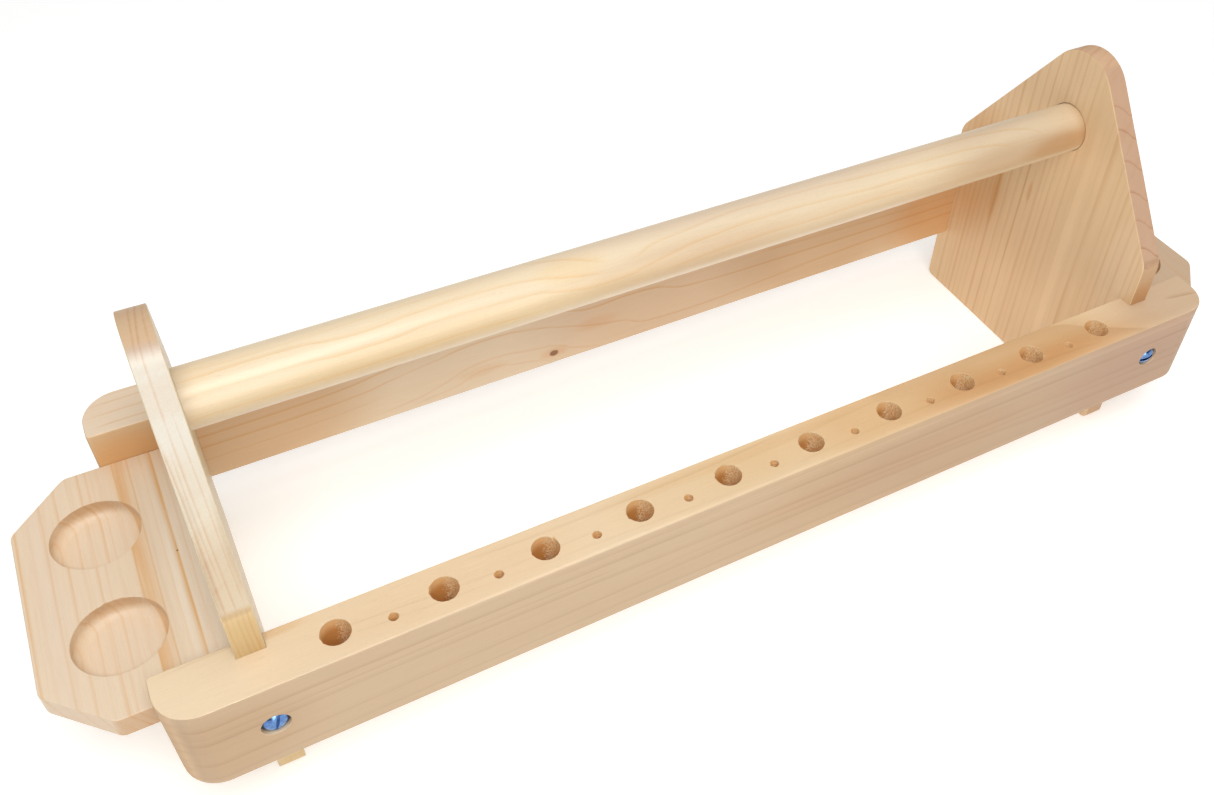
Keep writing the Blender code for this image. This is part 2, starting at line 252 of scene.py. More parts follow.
def board(name, outline, low, high, matrix, ease):
    """A board with eased edges. ease(point, top) is the radius of the edge at a point of the outline."""
    outline = divided(outline, OUTLINE_STEP)
    moves = outward_offsets(outline)
    shape = bmesh.new()
    rings = []
    for top in (False, True):
        for step in range(EASE_STEPS + 1):
            angle = math.pi / 2 * (step if top else EASE_STEPS - step) / EASE_STEPS
            ring = []
            for point, move in zip(outline, moves):
                radius = ease(point, top)
                flat = point - move * radius * (1 - math.cos(angle))
                rise = radius * (1 - math.sin(angle))
                height = high - rise if top else low + rise
                ring.append(shape.verts.new(matrix @ Vector((flat.x, flat.y, height))))
            rings.append(ring)
    for lower, upper in zip(rings, rings[1:]):
        for index, vertex in enumerate(lower):
            after = (index + 1) % len(lower)
            shape.faces.new((vertex, lower[after], upper[after], upper[index]))
    shape.faces.new(reversed(rings[0]))
    shape.faces.new(rings[-1])
    return link(name, shape)


def turned(shape, profile, matrix, segments, radius_at=None):
    """Add a turned solid. profile lists (radius, height) from one end to the other; ends are closed."""
    rings = []
    for radius, height in profile:
        ring = []
        for index in range(segments):
            angle = 2 * math.pi * index / segments
            real = radius_at(radius, height, angle) if radius_at else radius
            place = Vector((real * math.cos(angle), real * math.sin(angle), height))
            ring.append(shape.verts.new(matrix @ place))
        rings.append(ring)
    for lower, upper in zip(rings, rings[1:]):
        for index in range(segments):
            after = (index + 1) % segments
            shape.faces.new((lower[index], lower[after], upper[after], upper[index]))
    shape.faces.new(reversed(rings[0]))
    shape.faces.new(rings[-1])


def box(shape, low, high):
    low = Vector(low)
    high = Vector(high)
    bmesh.ops.create_cube(shape, size=1.0, matrix=Matrix.LocRotScale((low + high) / 2, None, high - low))


def along(start, direction):
    """Place whose Z axis runs from start in the direction."""
    turn = Vector(direction).to_track_quat("Z", "Y").to_matrix().to_4x4()
    return Matrix.Translation(start) @ turn


def apply_modifiers(piece):
    evaluated = piece.evaluated_get(bpy.context.evaluated_depsgraph_get())
    mesh = bpy.data.meshes.new_from_object(evaluated)
    piece.modifiers.clear()
    piece.data = mesh


def cut(piece, shape):
    """Cut the closed bodies of a bmesh out of a piece."""
    tool = link("cutter", shape)
    modifier = piece.modifiers.new("cut", "BOOLEAN")
    modifier.operation = "DIFFERENCE"
    modifier.solver = "EXACT"
    modifier.object = tool
    bpy.context.view_layer.update()
    apply_modifiers(piece)
    bpy.data.objects.remove(tool, do_unlink=True)


def finish(piece, node, material):
    """Shade a piece, hang it on its body and let it stand for its CAD node."""
    mesh = piece.data
    mesh.materials.clear()
    mesh.materials.append(material)
    mesh.shade_smooth()
    mesh.set_sharp_from_angle(angle=SHARP_ANGLE)
    weighted = piece.modifiers.new("flat_faces", "WEIGHTED_NORMAL")
    weighted.keep_sharp = True
    weighted.weight = 100
    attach(piece, "root")
    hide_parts(node)


# ---------------------------------------------------------------- openings and drilled holes

def opening_middles(prefix):
    """The middles (x, y) of the part's stated openings whose names start with the prefix."""
    openings = frame["record"]["physics"]["openings"]
    boxes = [opening["box_m"] for opening in openings if opening["name"].startswith(prefix)]
    return [((low[0] + high[0]) / 2, (low[1] + high[1]) / 2) for low, high in boxes]


def edge_noise(point, scale, layer):
    return noise.noise(Vector((point.x * scale, point.y * scale, layer)))


def round_noise(angle, height, around, lengthwise, offset):
    """Noise on a round wall, without a seam."""
    place = Vector((math.cos(angle) * around, math.sin(angle) * around, height * lengthwise))
    return noise.noise(place + offset)


def drill(shape, place, radius, depth, rng, segments, chip_length):
    """A hole drilled down from a face: a crisp rim with torn chips along the grain, a rough wall, a cone."""
    chips = []
    for _ in range(rng.randint(*CHIP_COUNTS)):
        middle = rng.choice((0, math.pi)) + rng.uniform(-CHIP_SPREAD, CHIP_SPREAD)
        chips.append((middle, rng.uniform(*CHIP_WIDTHS), chip_length * rng.uniform(*CHIP_LENGTHS)))
    seed = Vector((rng.uniform(0, 100), rng.uniform(0, 100), 0))

    def radius_at(base, height, angle):
        if base < radius * 0.9:
            return base
        torn = 0.0
        for middle, width, length in chips:
            away = (angle - middle + math.pi) % (2 * math.pi) - math.pi
            torn += length * math.exp(-(away / width) ** 2)
        torn *= max(0.0, 1 + height / (2.5 * chip_length))
        across_grain = abs(math.cos(angle)) ** 3
        wave = round_noise(angle, height, 5, 700, seed)
        pull = round_noise(angle, height, 14, 1600, seed)
        tear = HOLE_TEAR * across_grain * min(1.0, -height / 0.001)
        rough = HOLE_WAVE * wave + (HOLE_PULL + tear) * pull
        return base + min(torn, chip_length) + radius * rough

    profile = [(radius + HOLE_LIP, CLEAR), (radius + HOLE_LIP, 0), (radius, -HOLE_LIP)]
    for row in range(1, HOLE_ROWS + 1):
        profile.append((radius, -HOLE_LIP - (depth - HOLE_LIP) * row / HOLE_ROWS))
    profile.append((radius * HOLE_CONE_TIP, -depth - radius * HOLE_CONE_DEPTH))
    turned(shape, profile, place, segments, radius_at)


# ---------------------------------------------------------------- pieces

def stepped_screw_hole(shape, seat, outward, inside):
    """A counterbore from its seat outwards, and a clearance hole from the seat inwards, as one body."""
    clearance = SCREW_SHANK_RADIUS + GAP
    profile = [(clearance, -inside), (clearance, 0), (COUNTERBORE_RADIUS, 0),
               (COUNTERBORE_RADIUS, COUNTERBORE_DEPTH - LIP), (COUNTERBORE_RADIUS + LIP, COUNTERBORE_DEPTH),
               (COUNTERBORE_RADIUS + LIP, COUNTERBORE_DEPTH + CLEAR)]
    turned(shape, profile, along(seat, outward), FINE_TURN)


def straight_hole(shape, radius, start, direction, length):
    turned(shape, [(radius, 0), (radius, length)], along(start, direction), COARSE_TURN)


def pin_holes(shape, row):
    z = TRAY_TOP - BOARD_THICKNESS / 2
    for _, side in SIDES:
        for x in PIN_XS:
            start = (side * x, row * RAIL_INNER_Y - PIN_REACH, z)
            straight_hole(shape, PIN_RADIUS + GAP, start, (0, 1, 0), 2 * PIN_REACH)


def rail_ease(row):
    """Edge radius round a rail. The front rail's outer top edge has been rubbed round towards the right."""
    def ease(point, top):
        radius = EDGE_EASE + EDGE_WEAR * edge_noise(point, 60, row)
        outer = abs(point.y) > RAIL_OUTER_Y - 0.001
        if top and row < 0 and outer:
            share = min(1.0, max(0.0, (point.x - RUBBED_FROM_X) / (RUBBED_FULL_X - RUBBED_FROM_X)))
            share *= min(1.0, max(0.0, (RAIL_LENGTH / 2 - point.x) / RUBBED_END))
            radius += RUBBED_RADIUS * share * share * (3 - 2 * share)
        return radius
    return ease


def make_rail(row_name, row, material):
    half = RAIL_LENGTH / 2
    corners = [(-half, RAIL_INNER_Y, RAIL_INNER_CORNER_RADIUS),
               (half, RAIL_INNER_Y, RAIL_INNER_CORNER_RADIUS),
               (half, RAIL_OUTER_Y, RAIL_END_RADIUS), (-half, RAIL_OUTER_Y, RAIL_END_RADIUS)]
    outline = [Vector((x, row * y)) for x, y in rounded_outline(corners)]
    if row < 0:
        outline.reverse()
    rail = board(row_name + "_rail_wood", outline, RAIL_BOTTOM, RAIL_TOP, Matrix.Identity(4), rail_ease(row))

    rng = random.Random(11 + row)
    shape = bmesh.new()
    for number, (x, y) in enumerate(opening_middles(row_name + "_tool_hole")):
        drill(shape, Matrix.Translation((x, y, RAIL_TOP)), LARGE_HOLE_RADIUS, LARGE_HOLE_DEPTH, rng,
              LARGE_HOLE_TURN, LARGE_HOLE_CHIP)
        if number:
            small = (x - LARGE_HOLE_PITCH / 2, y + row * SMALL_HOLE_OUTWARD, RAIL_TOP)
            drill(shape, Matrix.Translation(small), SMALL_HOLE_RADIUS, SMALL_HOLE_DEPTH, rng,
                  SMALL_HOLE_TURN, SMALL_HOLE_CHIP)
    reach = BOARD_THICKNESS / 2 + HAIRLINE
    ys = sorted((row * (RAIL_INNER_Y - CLEAR), row * (PANEL_HALF_WIDTH + HAIRLINE)))
    for _, side in SIDES:
        x = side * PANEL_MIDDLE_X
        box(shape, (x - reach, ys[0], RAIL_BOTTOM - CLEAR), (x + reach, ys[1], RAIL_TOP + CLEAR))
    cut(rail, shape)

    shape = bmesh.new()
    for _, side in SIDES:
        seat = (side * PANEL_MIDDLE_X, row * RAIL_SEAT_Y, RAIL_SCREW_Z)
        stepped_screw_hole(shape, seat, (0, row, 0), RAIL_SEAT_Y - RAIL_INNER_Y - CLEAR)
    pin_holes(shape, row)
    cut(rail, shape)
    finish(rail, row_name + "_rail", material)


def panel_outline():
    """Gable outline in (Y, Z): straight slopes tangent to the round apex, with round shoulders."""
    shoulder = Vector((PANEL_HALF_WIDTH, PANEL_SHOULDER_Z))
    to_centre = Vector((0, PANEL_APEX_CENTRE_Z)) - shoulder
    lean = math.asin(PANEL_APEX_RADIUS / to_centre.length)
    slope = Matrix.Rotation(-lean, 2) @ to_centre.normalized()
    peak_z = shoulder.y + slope.y * (-shoulder.x / slope.x)
    half = [(PANEL_HALF_WIDTH, 0, PANEL_FOOT_RADIUS),
            (PANEL_HALF_WIDTH, PANEL_SHOULDER_Z, PANEL_SHOULDER_RADIUS)]
    mirrored = [(-y, z, radius) for y, z, radius in reversed(half)]
    return rounded_outline(half + [(0, peak_z, PANEL_APEX_RADIUS)] + mirrored)


def make_panel(side_name, side, material):
    upright = Matrix.Rotation(math.pi / 2, 4, "Z") @ Matrix.Rotation(math.pi / 2, 4, "X")
    place = Matrix.Translation((side * PANEL_MIDDLE_X, 0, 0)) @ upright
    half = BOARD_THICKNESS / 2

    def ease(point, top):
        return PANEL_EASES[side_name] * (1 + 0.25 * edge_noise(point, 50, side + top * 3.0))

    panel = board(side_name + "_end_panel_wood", panel_outline(), -half, half, place, ease)
    inner_x = PANEL_MIDDLE_X - half
    shape = bmesh.new()
    socket = HANDLE_RADIUS + SOCKET_GAP
    mouth = socket * SOCKET_FLARE
    profile = [(socket, inner_x - SOCKET_FLOOR_X), (socket, -SOCKET_LIP), (mouth, 0), (mouth, CLEAR)]
    turned(shape, profile, along((side * inner_x, 0, HANDLE_Z), (-side, 0, 0)), HANDLE_TURN)
    cut(panel, shape)
    shape = bmesh.new()
    seat = (side * HANDLE_SEAT_X, 0, HANDLE_Z)
    stepped_screw_hole(shape, seat, (side, 0, 0), HANDLE_SEAT_X - inner_x + CLEAR)
    for _, row in ROWS:
        start = (side * PANEL_MIDDLE_X, row * (RAIL_SEAT_Y - SCREW_LENGTH), RAIL_SCREW_Z)
        straight_hole(shape, SCREW_SHANK_RADIUS + GAP, start, (0, row, 0), SCREW_LENGTH)
    cut(panel, shape)
    finish(panel, side_name + "_end_panel", material)


def bore_recess(shape, middle):
    """A round recess with a fillet into its flat floor, torn a little where it cuts across the grain."""
    def radius_at(base, height, angle):
        if height > -LIP or base < RECESS_RADIUS - RECESS_FILLET / 2:
            return base
        across_grain = max(0.0, abs(math.sin(angle)) - 0.35)
        where = Vector((math.cos(angle) * 90, math.sin(angle) * 8, height * 900)) + middle * 1000
        return base + RECESS_TEAR * across_grain * noise.noise(where)

    profile = [(RECESS_RADIUS + LIP, CLEAR), (RECESS_RADIUS + LIP, 0)]
    for row in range(RECESS_ROWS):
        profile.append((RECESS_RADIUS, -LIP - (RECESS_DEPTH - LIP - RECESS_FILLET) * row / RECESS_ROWS))
    for step in range(FILLET_STEPS + 1):
        angle = math.pi / 2 * step / FILLET_STEPS
        radius = RECESS_RADIUS - RECESS_FILLET * (1 - math.cos(angle))
        profile.append((radius, RECESS_FILLET * (1 - math.sin(angle)) - RECESS_DEPTH))
    turned(shape, profile, Matrix.Translation(middle), RECESS_TURN, radius_at)


def make_tray(side_name, side, material):
    short = TRAY_HALF_WIDTH - TRAY_CORNER_CUTS[side_name]
    cut_x = TRAY_OUTER_X - TRAY_CORNER_CUTS[side_name]
    radius = TRAY_CORNER_RADII[side_name]
    corners = [(TRAY_INNER_X, -TRAY_HALF_WIDTH, EDGE_EASE), (cut_x, -TRAY_HALF_WIDTH, radius),
               (TRAY_OUTER_X, -short, radius), (TRAY_OUTER_X, short, radius),
               (cut_x, TRAY_HALF_WIDTH, radius), (TRAY_INNER_X, TRAY_HALF_WIDTH, EDGE_EASE)]
    outline = [Vector((side * x, y)) for x, y in rounded_outline(corners)]
    if side < 0:
        outline.reverse()

    def ease(point, top):
        return EDGE_EASE + EDGE_WEAR * edge_noise(point, 50, side + top * 3.0)

    tray = board(side_name + "_tray_wood", outline, TRAY_TOP - BOARD_THICKNESS, TRAY_TOP,
                 Matrix.Identity(4), ease)
    shape = bmesh.new()
    for x, y in opening_middles(side_name + "_tray"):
        bore_recess(shape, Vector((x, y, TRAY_TOP)))
    for _, row in ROWS:
        pin_holes(shape, row)
    cut(tray, shape)
    finish(tray, side_name + "_tray", material)


def make_handle(material):
    """A dowel that isn't perfectly round or straight-sided, with chamfered ends and pilot holes."""
    def radius_at(base, height, angle):
        return base - HANDLE_WEAR + HANDLE_WEAR * round_noise(angle, height, 0.8, 14, Vector())

    profile = [(HANDLE_RADIUS - HANDLE_CHAMFER, -HANDLE_END_X)]
    start = -HANDLE_END_X + HANDLE_CHAMFER
    span = 2 * (HANDLE_END_X - HANDLE_CHAMFER)
    profile += [(HANDLE_RADIUS, start + span * row / HANDLE_ROWS) for row in range(HANDLE_ROWS + 1)]
    profile += [(HANDLE_RADIUS - HANDLE_CHAMFER, HANDLE_END_X)]
    shape = bmesh.new()
    turned(shape, profile, along((0, 0, HANDLE_Z), (1, 0, 0)), HANDLE_TURN, radius_at)
    handle = link("handle_dowel_wood", shape)
    shape = bmesh.new()
    for _, side in SIDES:
        start = (side * (HANDLE_SEAT_X - SCREW_LENGTH), 0, HANDLE_Z)
        straight_hole(shape, SCREW_SHANK_RADIUS + GAP, start, (side, 0, 0), SCREW_LENGTH)
    cut(handle, shape)
    finish(handle, "handle_dowel", material)


def make_screw(node, seat, outward, slot_turn, material):
    dome = SCREW_HEAD_HEIGHT - SCREW_RIM_HEIGHT
    dome_radius = (SCREW_HEAD_RADIUS ** 2 + dome ** 2) / (2 * dome)
    dome_angle = math.asin(SCREW_HEAD_RADIUS / dome_radius)
    profile = [(SCREW_POINT_RADIUS, -SCREW_LENGTH), (SCREW_SHANK_RADIUS, SCREW_TIP_LENGTH - SCREW_LENGTH),
               (SCREW_SHANK_RADIUS, 0), (SCREW_HEAD_RADIUS - SCREW_EDGE, 0), (SCREW_HEAD_RADIUS, SCREW_EDGE),
               (SCREW_HEAD_RADIUS, SCREW_RIM_HEIGHT - SCREW_EDGE)]
    for step in range(DOME_STEPS):
        angle = dome_angle * (1 - step / DOME_STEPS)
        fall = dome_radius * (1 - math.cos(angle))
        profile.append((dome_radius * math.sin(angle), SCREW_HEAD_HEIGHT - fall))
    profile.append((SCREW_POINT_RADIUS, SCREW_HEAD_HEIGHT))
    place = along(Vector(seat) + Vector(outward) * GAP, outward)
    shape = bmesh.new()
    turned(shape, profile, place, FINE_TURN)
    screw = link(node + "_metal", shape)
    floor = SCREW_HEAD_HEIGHT - SCREW_SLOT_DEPTH
    shape = bmesh.new()
    box(shape, (-SCREW_HEAD_RADIUS - CLEAR, -SCREW_SLOT_WIDTH / 2, floor),
        (SCREW_HEAD_RADIUS + CLEAR, SCREW_SLOT_WIDTH / 2, SCREW_HEAD_HEIGHT + CLEAR))
    bmesh.ops.transform(shape, verts=shape.verts, matrix=place @ Matrix.Rotation(slot_turn, 4, "Z"))
    cut(screw, shape)
    bevel = screw.modifiers.new("worn_edges", "BEVEL")
    bevel.width = SCREW_WEAR
    bevel.segments = 2
    bevel.limit_method = "ANGLE"
    bevel.angle_limit = math.radians(45)
    finish(screw, node, material)


def make_screws(material):
    for row_name, row in ROWS:
        for side_name, side in SIDES:
            seat = (side * PANEL_MIDDLE_X, row * RAIL_SEAT_Y, RAIL_SCREW_Z)
            turn = math.radians(RAIL_SCREW_SLOT_TURNS[row_name, side_name])
            make_screw(row_name + "_" + side_name + "_rail_screw", seat, (0, row, 0), turn, material)
    for side_name, side in SIDES:
        seat = (side * HANDLE_SEAT_X, 0, HANDLE_Z)
        turn = math.radians(HANDLE_SCREW_SLOT_TURNS[side_name])
        make_screw(side_name + "_handle_screw", seat, (side, 0, 0), turn, material)


# ---------------------------------------------------------------- materials

class Finish:
    """One material's node tree, with short calls for its nodes. A socket or a plain value feeds an input."""

    def __init__(self, name):
        self.material = bpy.data.materials.new(name)
        self.material.use_nodes = True
        self.tree = self.material.node_tree
        self.shader = self.tree.nodes["Principled BSDF"]

    def feed(self, socket, value):
        if isinstance(value, bpy.types.NodeSocket):
            self.tree.links.new(value, socket)
        else:
            socket.default_value = (*value, 1.0) if socket.type == "RGBA" else value

    def surface(self, name, value):
        """Feed one input of the surface shader."""
        self.feed(self.shader.inputs[name], value)

    def node(self, kind, inputs=(), output=0, **settings):
        made = self.tree.nodes.new(kind)
        for key, value in settings.items():
            setattr(made, key, value)
        pairs = inputs.items() if isinstance(inputs, dict) else enumerate(inputs)
        for key, value in pairs:
            self.feed(made.inputs[key], value)
        return made.outputs[output]

    def math(self, operation, *values):
        return self.node("ShaderNodeMath", values, operation=operation)

    def times(self, one, two):
        return self.math("MULTIPLY", one, two)

    def minus(self, one, two):
        return self.math("SUBTRACT", one, two)

    def clamped(self, operation, *values):
        return self.node("ShaderNodeMath", values, operation=operation, use_clamp=True)

    def dot(self, vector, axis):
        return self.node("ShaderNodeVectorMath", (vector, axis), "Value", operation="DOT_PRODUCT")

    def join(self, x, y, z):
        return self.node("ShaderNodeCombineXYZ", (x, y, z))

    def millimetres(self):
        """The place on the piece, in millimetres in the frame."""
        place = self.node("ShaderNodeTexCoord", output="Object")
        return self.node("ShaderNodeVectorMath", {0: place, "Scale": 1000.0}, operation="SCALE")

    def stretched(self, x, y, z, scales, seed):
        """A place for a noise with its own scale along each of three directions."""
        return self.join(self.math("MULTIPLY_ADD", x, scales[0], seed), self.times(y, scales[1]),
                         self.times(z, scales[2]))

    def blend(self, share, one, two):
        return self.math("MULTIPLY_ADD", share, self.minus(two, one), one)

    def noise(self, vector, detail=2.0, roughness=0.5):
        inputs = {"Vector": vector, "Scale": 1.0, "Detail": detail, "Roughness": roughness}
        return self.node("ShaderNodeTexNoise", inputs)

    def swayed(self, base, noise, amount):
        """The base value, moved up and down by a noise."""
        return self.math("MULTIPLY_ADD", self.minus(noise, 0.5), amount, base)

    def fade(self, value, start, end, low=0.0, high=1.0):
        """A smooth step from low at start to high at end."""
        inputs = (value, start, end, low, high)
        return self.node("ShaderNodeMapRange", inputs, interpolation_type="SMOOTHSTEP")

    def mix(self, factor, one, two, blend="MIX"):
        inputs = {0: factor, 6: one, 7: two}
        return self.node("ShaderNodeMix", inputs, 2, data_type="RGBA", blend_type=blend, clamp_factor=True)

    def toned(self, share, colour, tone):
        """The colour, multiplied by a tone as far as the share goes."""
        return self.mix(share, colour, self.mix(1.0, colour, tone, "MULTIPLY"))

    def ramp(self, value, stops):
        """A curve of plain values through stops (place, value), places rising from 0 to 1."""
        made = self.tree.nodes.new("ShaderNodeValToRGB")
        elements = made.color_ramp.elements
        while len(elements) > 1:
            elements.remove(elements[-1])
        for number, (place, level) in enumerate(stops):
            element = elements[0] if number == 0 else elements.new(place)
            element.position = place
            element.color = (level, level, level, 1.0)
        self.feed(made.inputs[0], value)
        return made.outputs[0]

    def curve(self, value, points):
        """A smooth curve through points (x, y), level beyond the first and the last."""
        first, last = points[0][0], points[-1][0]
        low = min(y for x, y in points) - 1.0
        high = max(y for x, y in points) + 1.0
        share = self.clamped("DIVIDE", self.minus(value, first), last - first)
        made = self.tree.nodes.new("ShaderNodeFloatCurve")
        drawn = made.mapping.curves[0].points
        for number, (x, y) in enumerate(points):
            place = ((x - first) / (last - first), (y - low) / (high - low))
            if number in (0, len(points) - 1):
                drawn[0 if number == 0 else -1].location = place
            else:
                drawn.new(*place)
        made.mapping.update()
        self.feed(made.inputs[1], share)
        return self.math("MULTIPLY_ADD", made.outputs[0], high - low, low)


# ---------------------------------------------------------------- timber

X_AXIS, Y_AXIS, Z_AXIS = Vector((1, 0, 0)), Vector((0, 1, 0)), Vector((0, 0, 1))
LINES_PER_RAMP = 9
SHARP_SIDE_MM = 0.35
RING_STOPS = ((0.0, 0.35), (0.07, 0.0), (0.45, 0.06), (0.80, 0.45), (0.95, 1.0), (1.0, 0.35))
SEED_STEP = 37.0
WOOD_RELIEF = 0.00006
LINE_RELIEF = -0.4
METAL_RELIEF = 0.00003
WOOD_IOR = 1.45
COAT_ROUGHNESS = 0.25

# How fast each noise changes per millimetre: along the grain, across it and through the board.
WANDER = (0.010, 0.03, 0.03)
UNEVEN = (0.02, 0.4, 0.05)
FAINT = (0.004, 0.55, 0.12)
CLOUD = (0.012, 0.06, 0.06)
FIBRE = (0.09, 3.2, 3.2)
SPECKLE = (1.3, 4.0, 4.0)
DASHES = (0.45, 5.5, 5.5)

# How much each noise changes the tone or the roughness, and the levels between which it does so.
CLOUD_SHADE = 0.4
FIBRE_SHADE = 0.16
SPECKLE_SHADE = 0.10
DASH_SHADE = 0.12
DASH_LEVELS = (0.66, 0.80)
BREAK_LEVELS = (0.3, 0.62)
FIBRE_ROUGHNESS = 0.25
END_ROUGHNESS = 0.15

# Where the walls of the tool holes lie, in millimetres: how far from the rail's middle, and how deep.
BORES_REACH = 160.0
BORES_DEPTH = 27.0


class Face:
    """The figure on one face of a board. Places are millimetres along and across the face.

    drawn lists growth lines (points, strength, width of the soft side; a negative width puts it below).
    patches lists tones (x, y, half length, half width, colour, strength), and knots (x, y, radius).
    tone is a colour that the whole face is multiplied by. facing is how squarely a surface has to face
    the toward direction, as the cosines where the face's figure begins and is whole. A curved face has its
    centre and radius in curved, and its places across are lengths of arc, from the toward direction.
    """

    usual = {"drawn": (), "patches": (), "knots": (), "tone": None, "facing": (0.6, 0.85), "curved": None}

    def __init__(self, toward, along, across, **more):
        self.toward = toward
        self.along = along
        self.across = across
        for key, value in {**self.usual, **more}.items():
            setattr(self, key, value)


class Board:
    """What a pine material needs to know of one piece of wood. Places are millimetres in the frame.

    lines are straight growth lines (place, strength, soft side) between start and end, leaning through the
    board by lean and wandering by wander. pith and spacing place growth rings, as dark as rings. streaks is
    how streaky the wood is. bores is the middle and half width of the band that holds the tool holes.
    """

    usual = {"surface": 0.0, "start": -60.0, "end": 60.0, "lines": (), "lean": 0.0, "wander": 0.8,
             "pith": None, "spacing": 3.0, "rings": 0.5, "faces": (), "streaks": 0.35,
             "end_tint": (0.80, 0.66, 0.52), "end_facing": (0.45, 0.95), "roughness": 0.5, "coat": 0.0,
             "bores": None}

    def __init__(self, name, grain, across, early, late, seed, **more):
        self.name = name
        self.grain = Vector(grain).normalized()
        self.across = Vector(across).normalized()
        self.early = early
        self.late = late
        self.seed = seed * SEED_STEP
        for key, value in {**self.usual, **more}.items():
            setattr(self, key, value)


def line_stops(board, lines):
    """Ramp stops for straight growth lines (place, strength, soft side), each with one sharp side."""
    span = board.end - board.start
    stops = [(0.0, 0.0)]
    for place, strength, soft in lines:
        middle = (place - board.start) / span
        sharp = min(SHARP_SIDE_MM, abs(soft) / 3) / span
        before, after = (abs(soft) / span, sharp) if soft > 0 else (sharp, abs(soft) / span)
        if middle - before <= stops[-1][0]:
            stops[-1] = (stops[-1][0], min(stops[-1][1] + strength * 0.3, 1.0))
        else:
            stops.append((middle - before, 0.0))
        stops.append((middle, strength))
        stops.append((middle + after, 0.0))
    return stops


def straight_lines(f, board, ring):
    share = f.math("DIVIDE", f.minus(ring, board.start), board.end - board.start)
    lines = sorted(board.lines)
    dark = 0.0
    for first in range(0, len(lines), LINES_PER_RAMP):
        some = f.ramp(share, line_stops(board, lines[first:first + LINES_PER_RAMP]))
        dark = f.math("MAXIMUM", dark, some)
    return dark


def pith_rings(f, board, ring, z):
    """Growth rings about a pith that runs with the grain."""
    across = f.minus(ring, board.pith[0])
    deep = f.minus(z, board.pith[1])
    radius = f.math("SQRT", f.math("MULTIPLY_ADD", across, across, f.times(deep, deep)))
    turn = f.math("FRACT", f.math("DIVIDE", radius, board.spacing))
    return f.times(f.ramp(turn, RING_STOPS), board.rings)


def drawn_lines(f, face, x, y):
    """Growth lines that follow curves, each sharp on one side and faded at its ends."""
    dark = 0.0
    for points, strength, width in face.drawn:
        away = f.minus(y, f.curve(x, points))
        soft = f.math("MULTIPLY_ADD", away, -1.0 / width, 1.0)
        sharp = f.math("MULTIPLY_ADD", away, math.copysign(1.0 / SHARP_SIDE_MM, width), 1.0)
        line = f.math("POWER", f.clamped("MINIMUM", soft, sharp), 1.5)
        first, last = points[0][0], points[-1][0]
        run = min(12.0, (last - first) / 3)
        line = f.times(line, f.fade(x, first, first + run, 0.0, strength))
        line = f.times(line, f.fade(x, last - run, last, 1.0, 0.0))
        dark = f.math("MAXIMUM", dark, line)
    return dark


def place_across(f, face, place):
    """How far across a face a place is, in millimetres."""
    if not face.curved:
        return f.dot(place, face.across)
    centre, radius = face.curved
    from_centre = f.node("ShaderNodeVectorMath", (place, centre), operation="SUBTRACT")
    angle = f.math("ARCTAN2", f.dot(from_centre, face.across), f.dot(from_centre, face.toward))
    return f.times(angle, radius)


def oval(f, x, y, middle_x, middle_y, half_x, half_y, inner):
    """1 inside an oval share called inner, fading to 0 at the oval."""
    away_x = f.math("DIVIDE", f.minus(x, middle_x), half_x)
    away_y = f.math("DIVIDE", f.minus(y, middle_y), half_y)
    squared = f.math("MULTIPLY_ADD", away_x, away_x, f.times(away_y, away_y))
    return f.fade(f.math("SQRT", squared), inner, 1.0, 1.0, 0.0)


def bore_mask(f, board, place):
    """1 on the walls of the tool holes: in a band along the rail, short of its ends and below its top."""
    middle, half = board.bores
    short = f.fade(f.math("ABSOLUTE", f.dot(place, X_AXIS)), BORES_REACH - 2, BORES_REACH, 1.0, 0.0)
    away = f.math("ABSOLUTE", f.minus(f.dot(place, Y_AXIS), middle))
    depth = f.minus(RAIL_TOP * 1000, f.dot(place, Z_AXIS))
    mask = f.times(f.fade(away, half - 0.5, half, 1.0, 0.0), f.fade(depth, 0.02, 0.20))
    mask = f.times(mask, short)
    return f.times(mask, f.fade(depth, BORES_DEPTH - 1, BORES_DEPTH, 1.0, 0.0))


def torn_wall_with_painted_light(f, place, normal):
    """The wall of a drilled hole: smooth and brown, darker deeper down as painted shade, with golden torn
    flecks on the side that faces -X, their brightness partly painted light.
    """
    flecks = f.node("ShaderNodeTexNoise", {"Vector": place, "Scale": 1.9, "Detail": 3.0, "Roughness": 0.6})
    depth = f.minus(RAIL_TOP * 1000, f.dot(place, Z_AXIS))
    # Orange near the rim turning brown lower down: painted shade deeper in the hole.
    smooth = f.mix(f.fade(depth, 1.0, 6.0), BORE_ORANGE, BORE_SHADE_BROWN)
    # Golden flecks on torn end grain, their brightness painted light on the wall that faces the key light.
    torn = f.mix(f.fade(flecks, 0.40, 0.60), BORE_TAN, BORE_LIT_TORN_GOLD)
    lit_torn_side = f.swayed(f.dot(normal, -X_AXIS), flecks, 2.0)
    return f.mix(f.fade(lit_torn_side, 0.25, 0.60), smooth, torn)


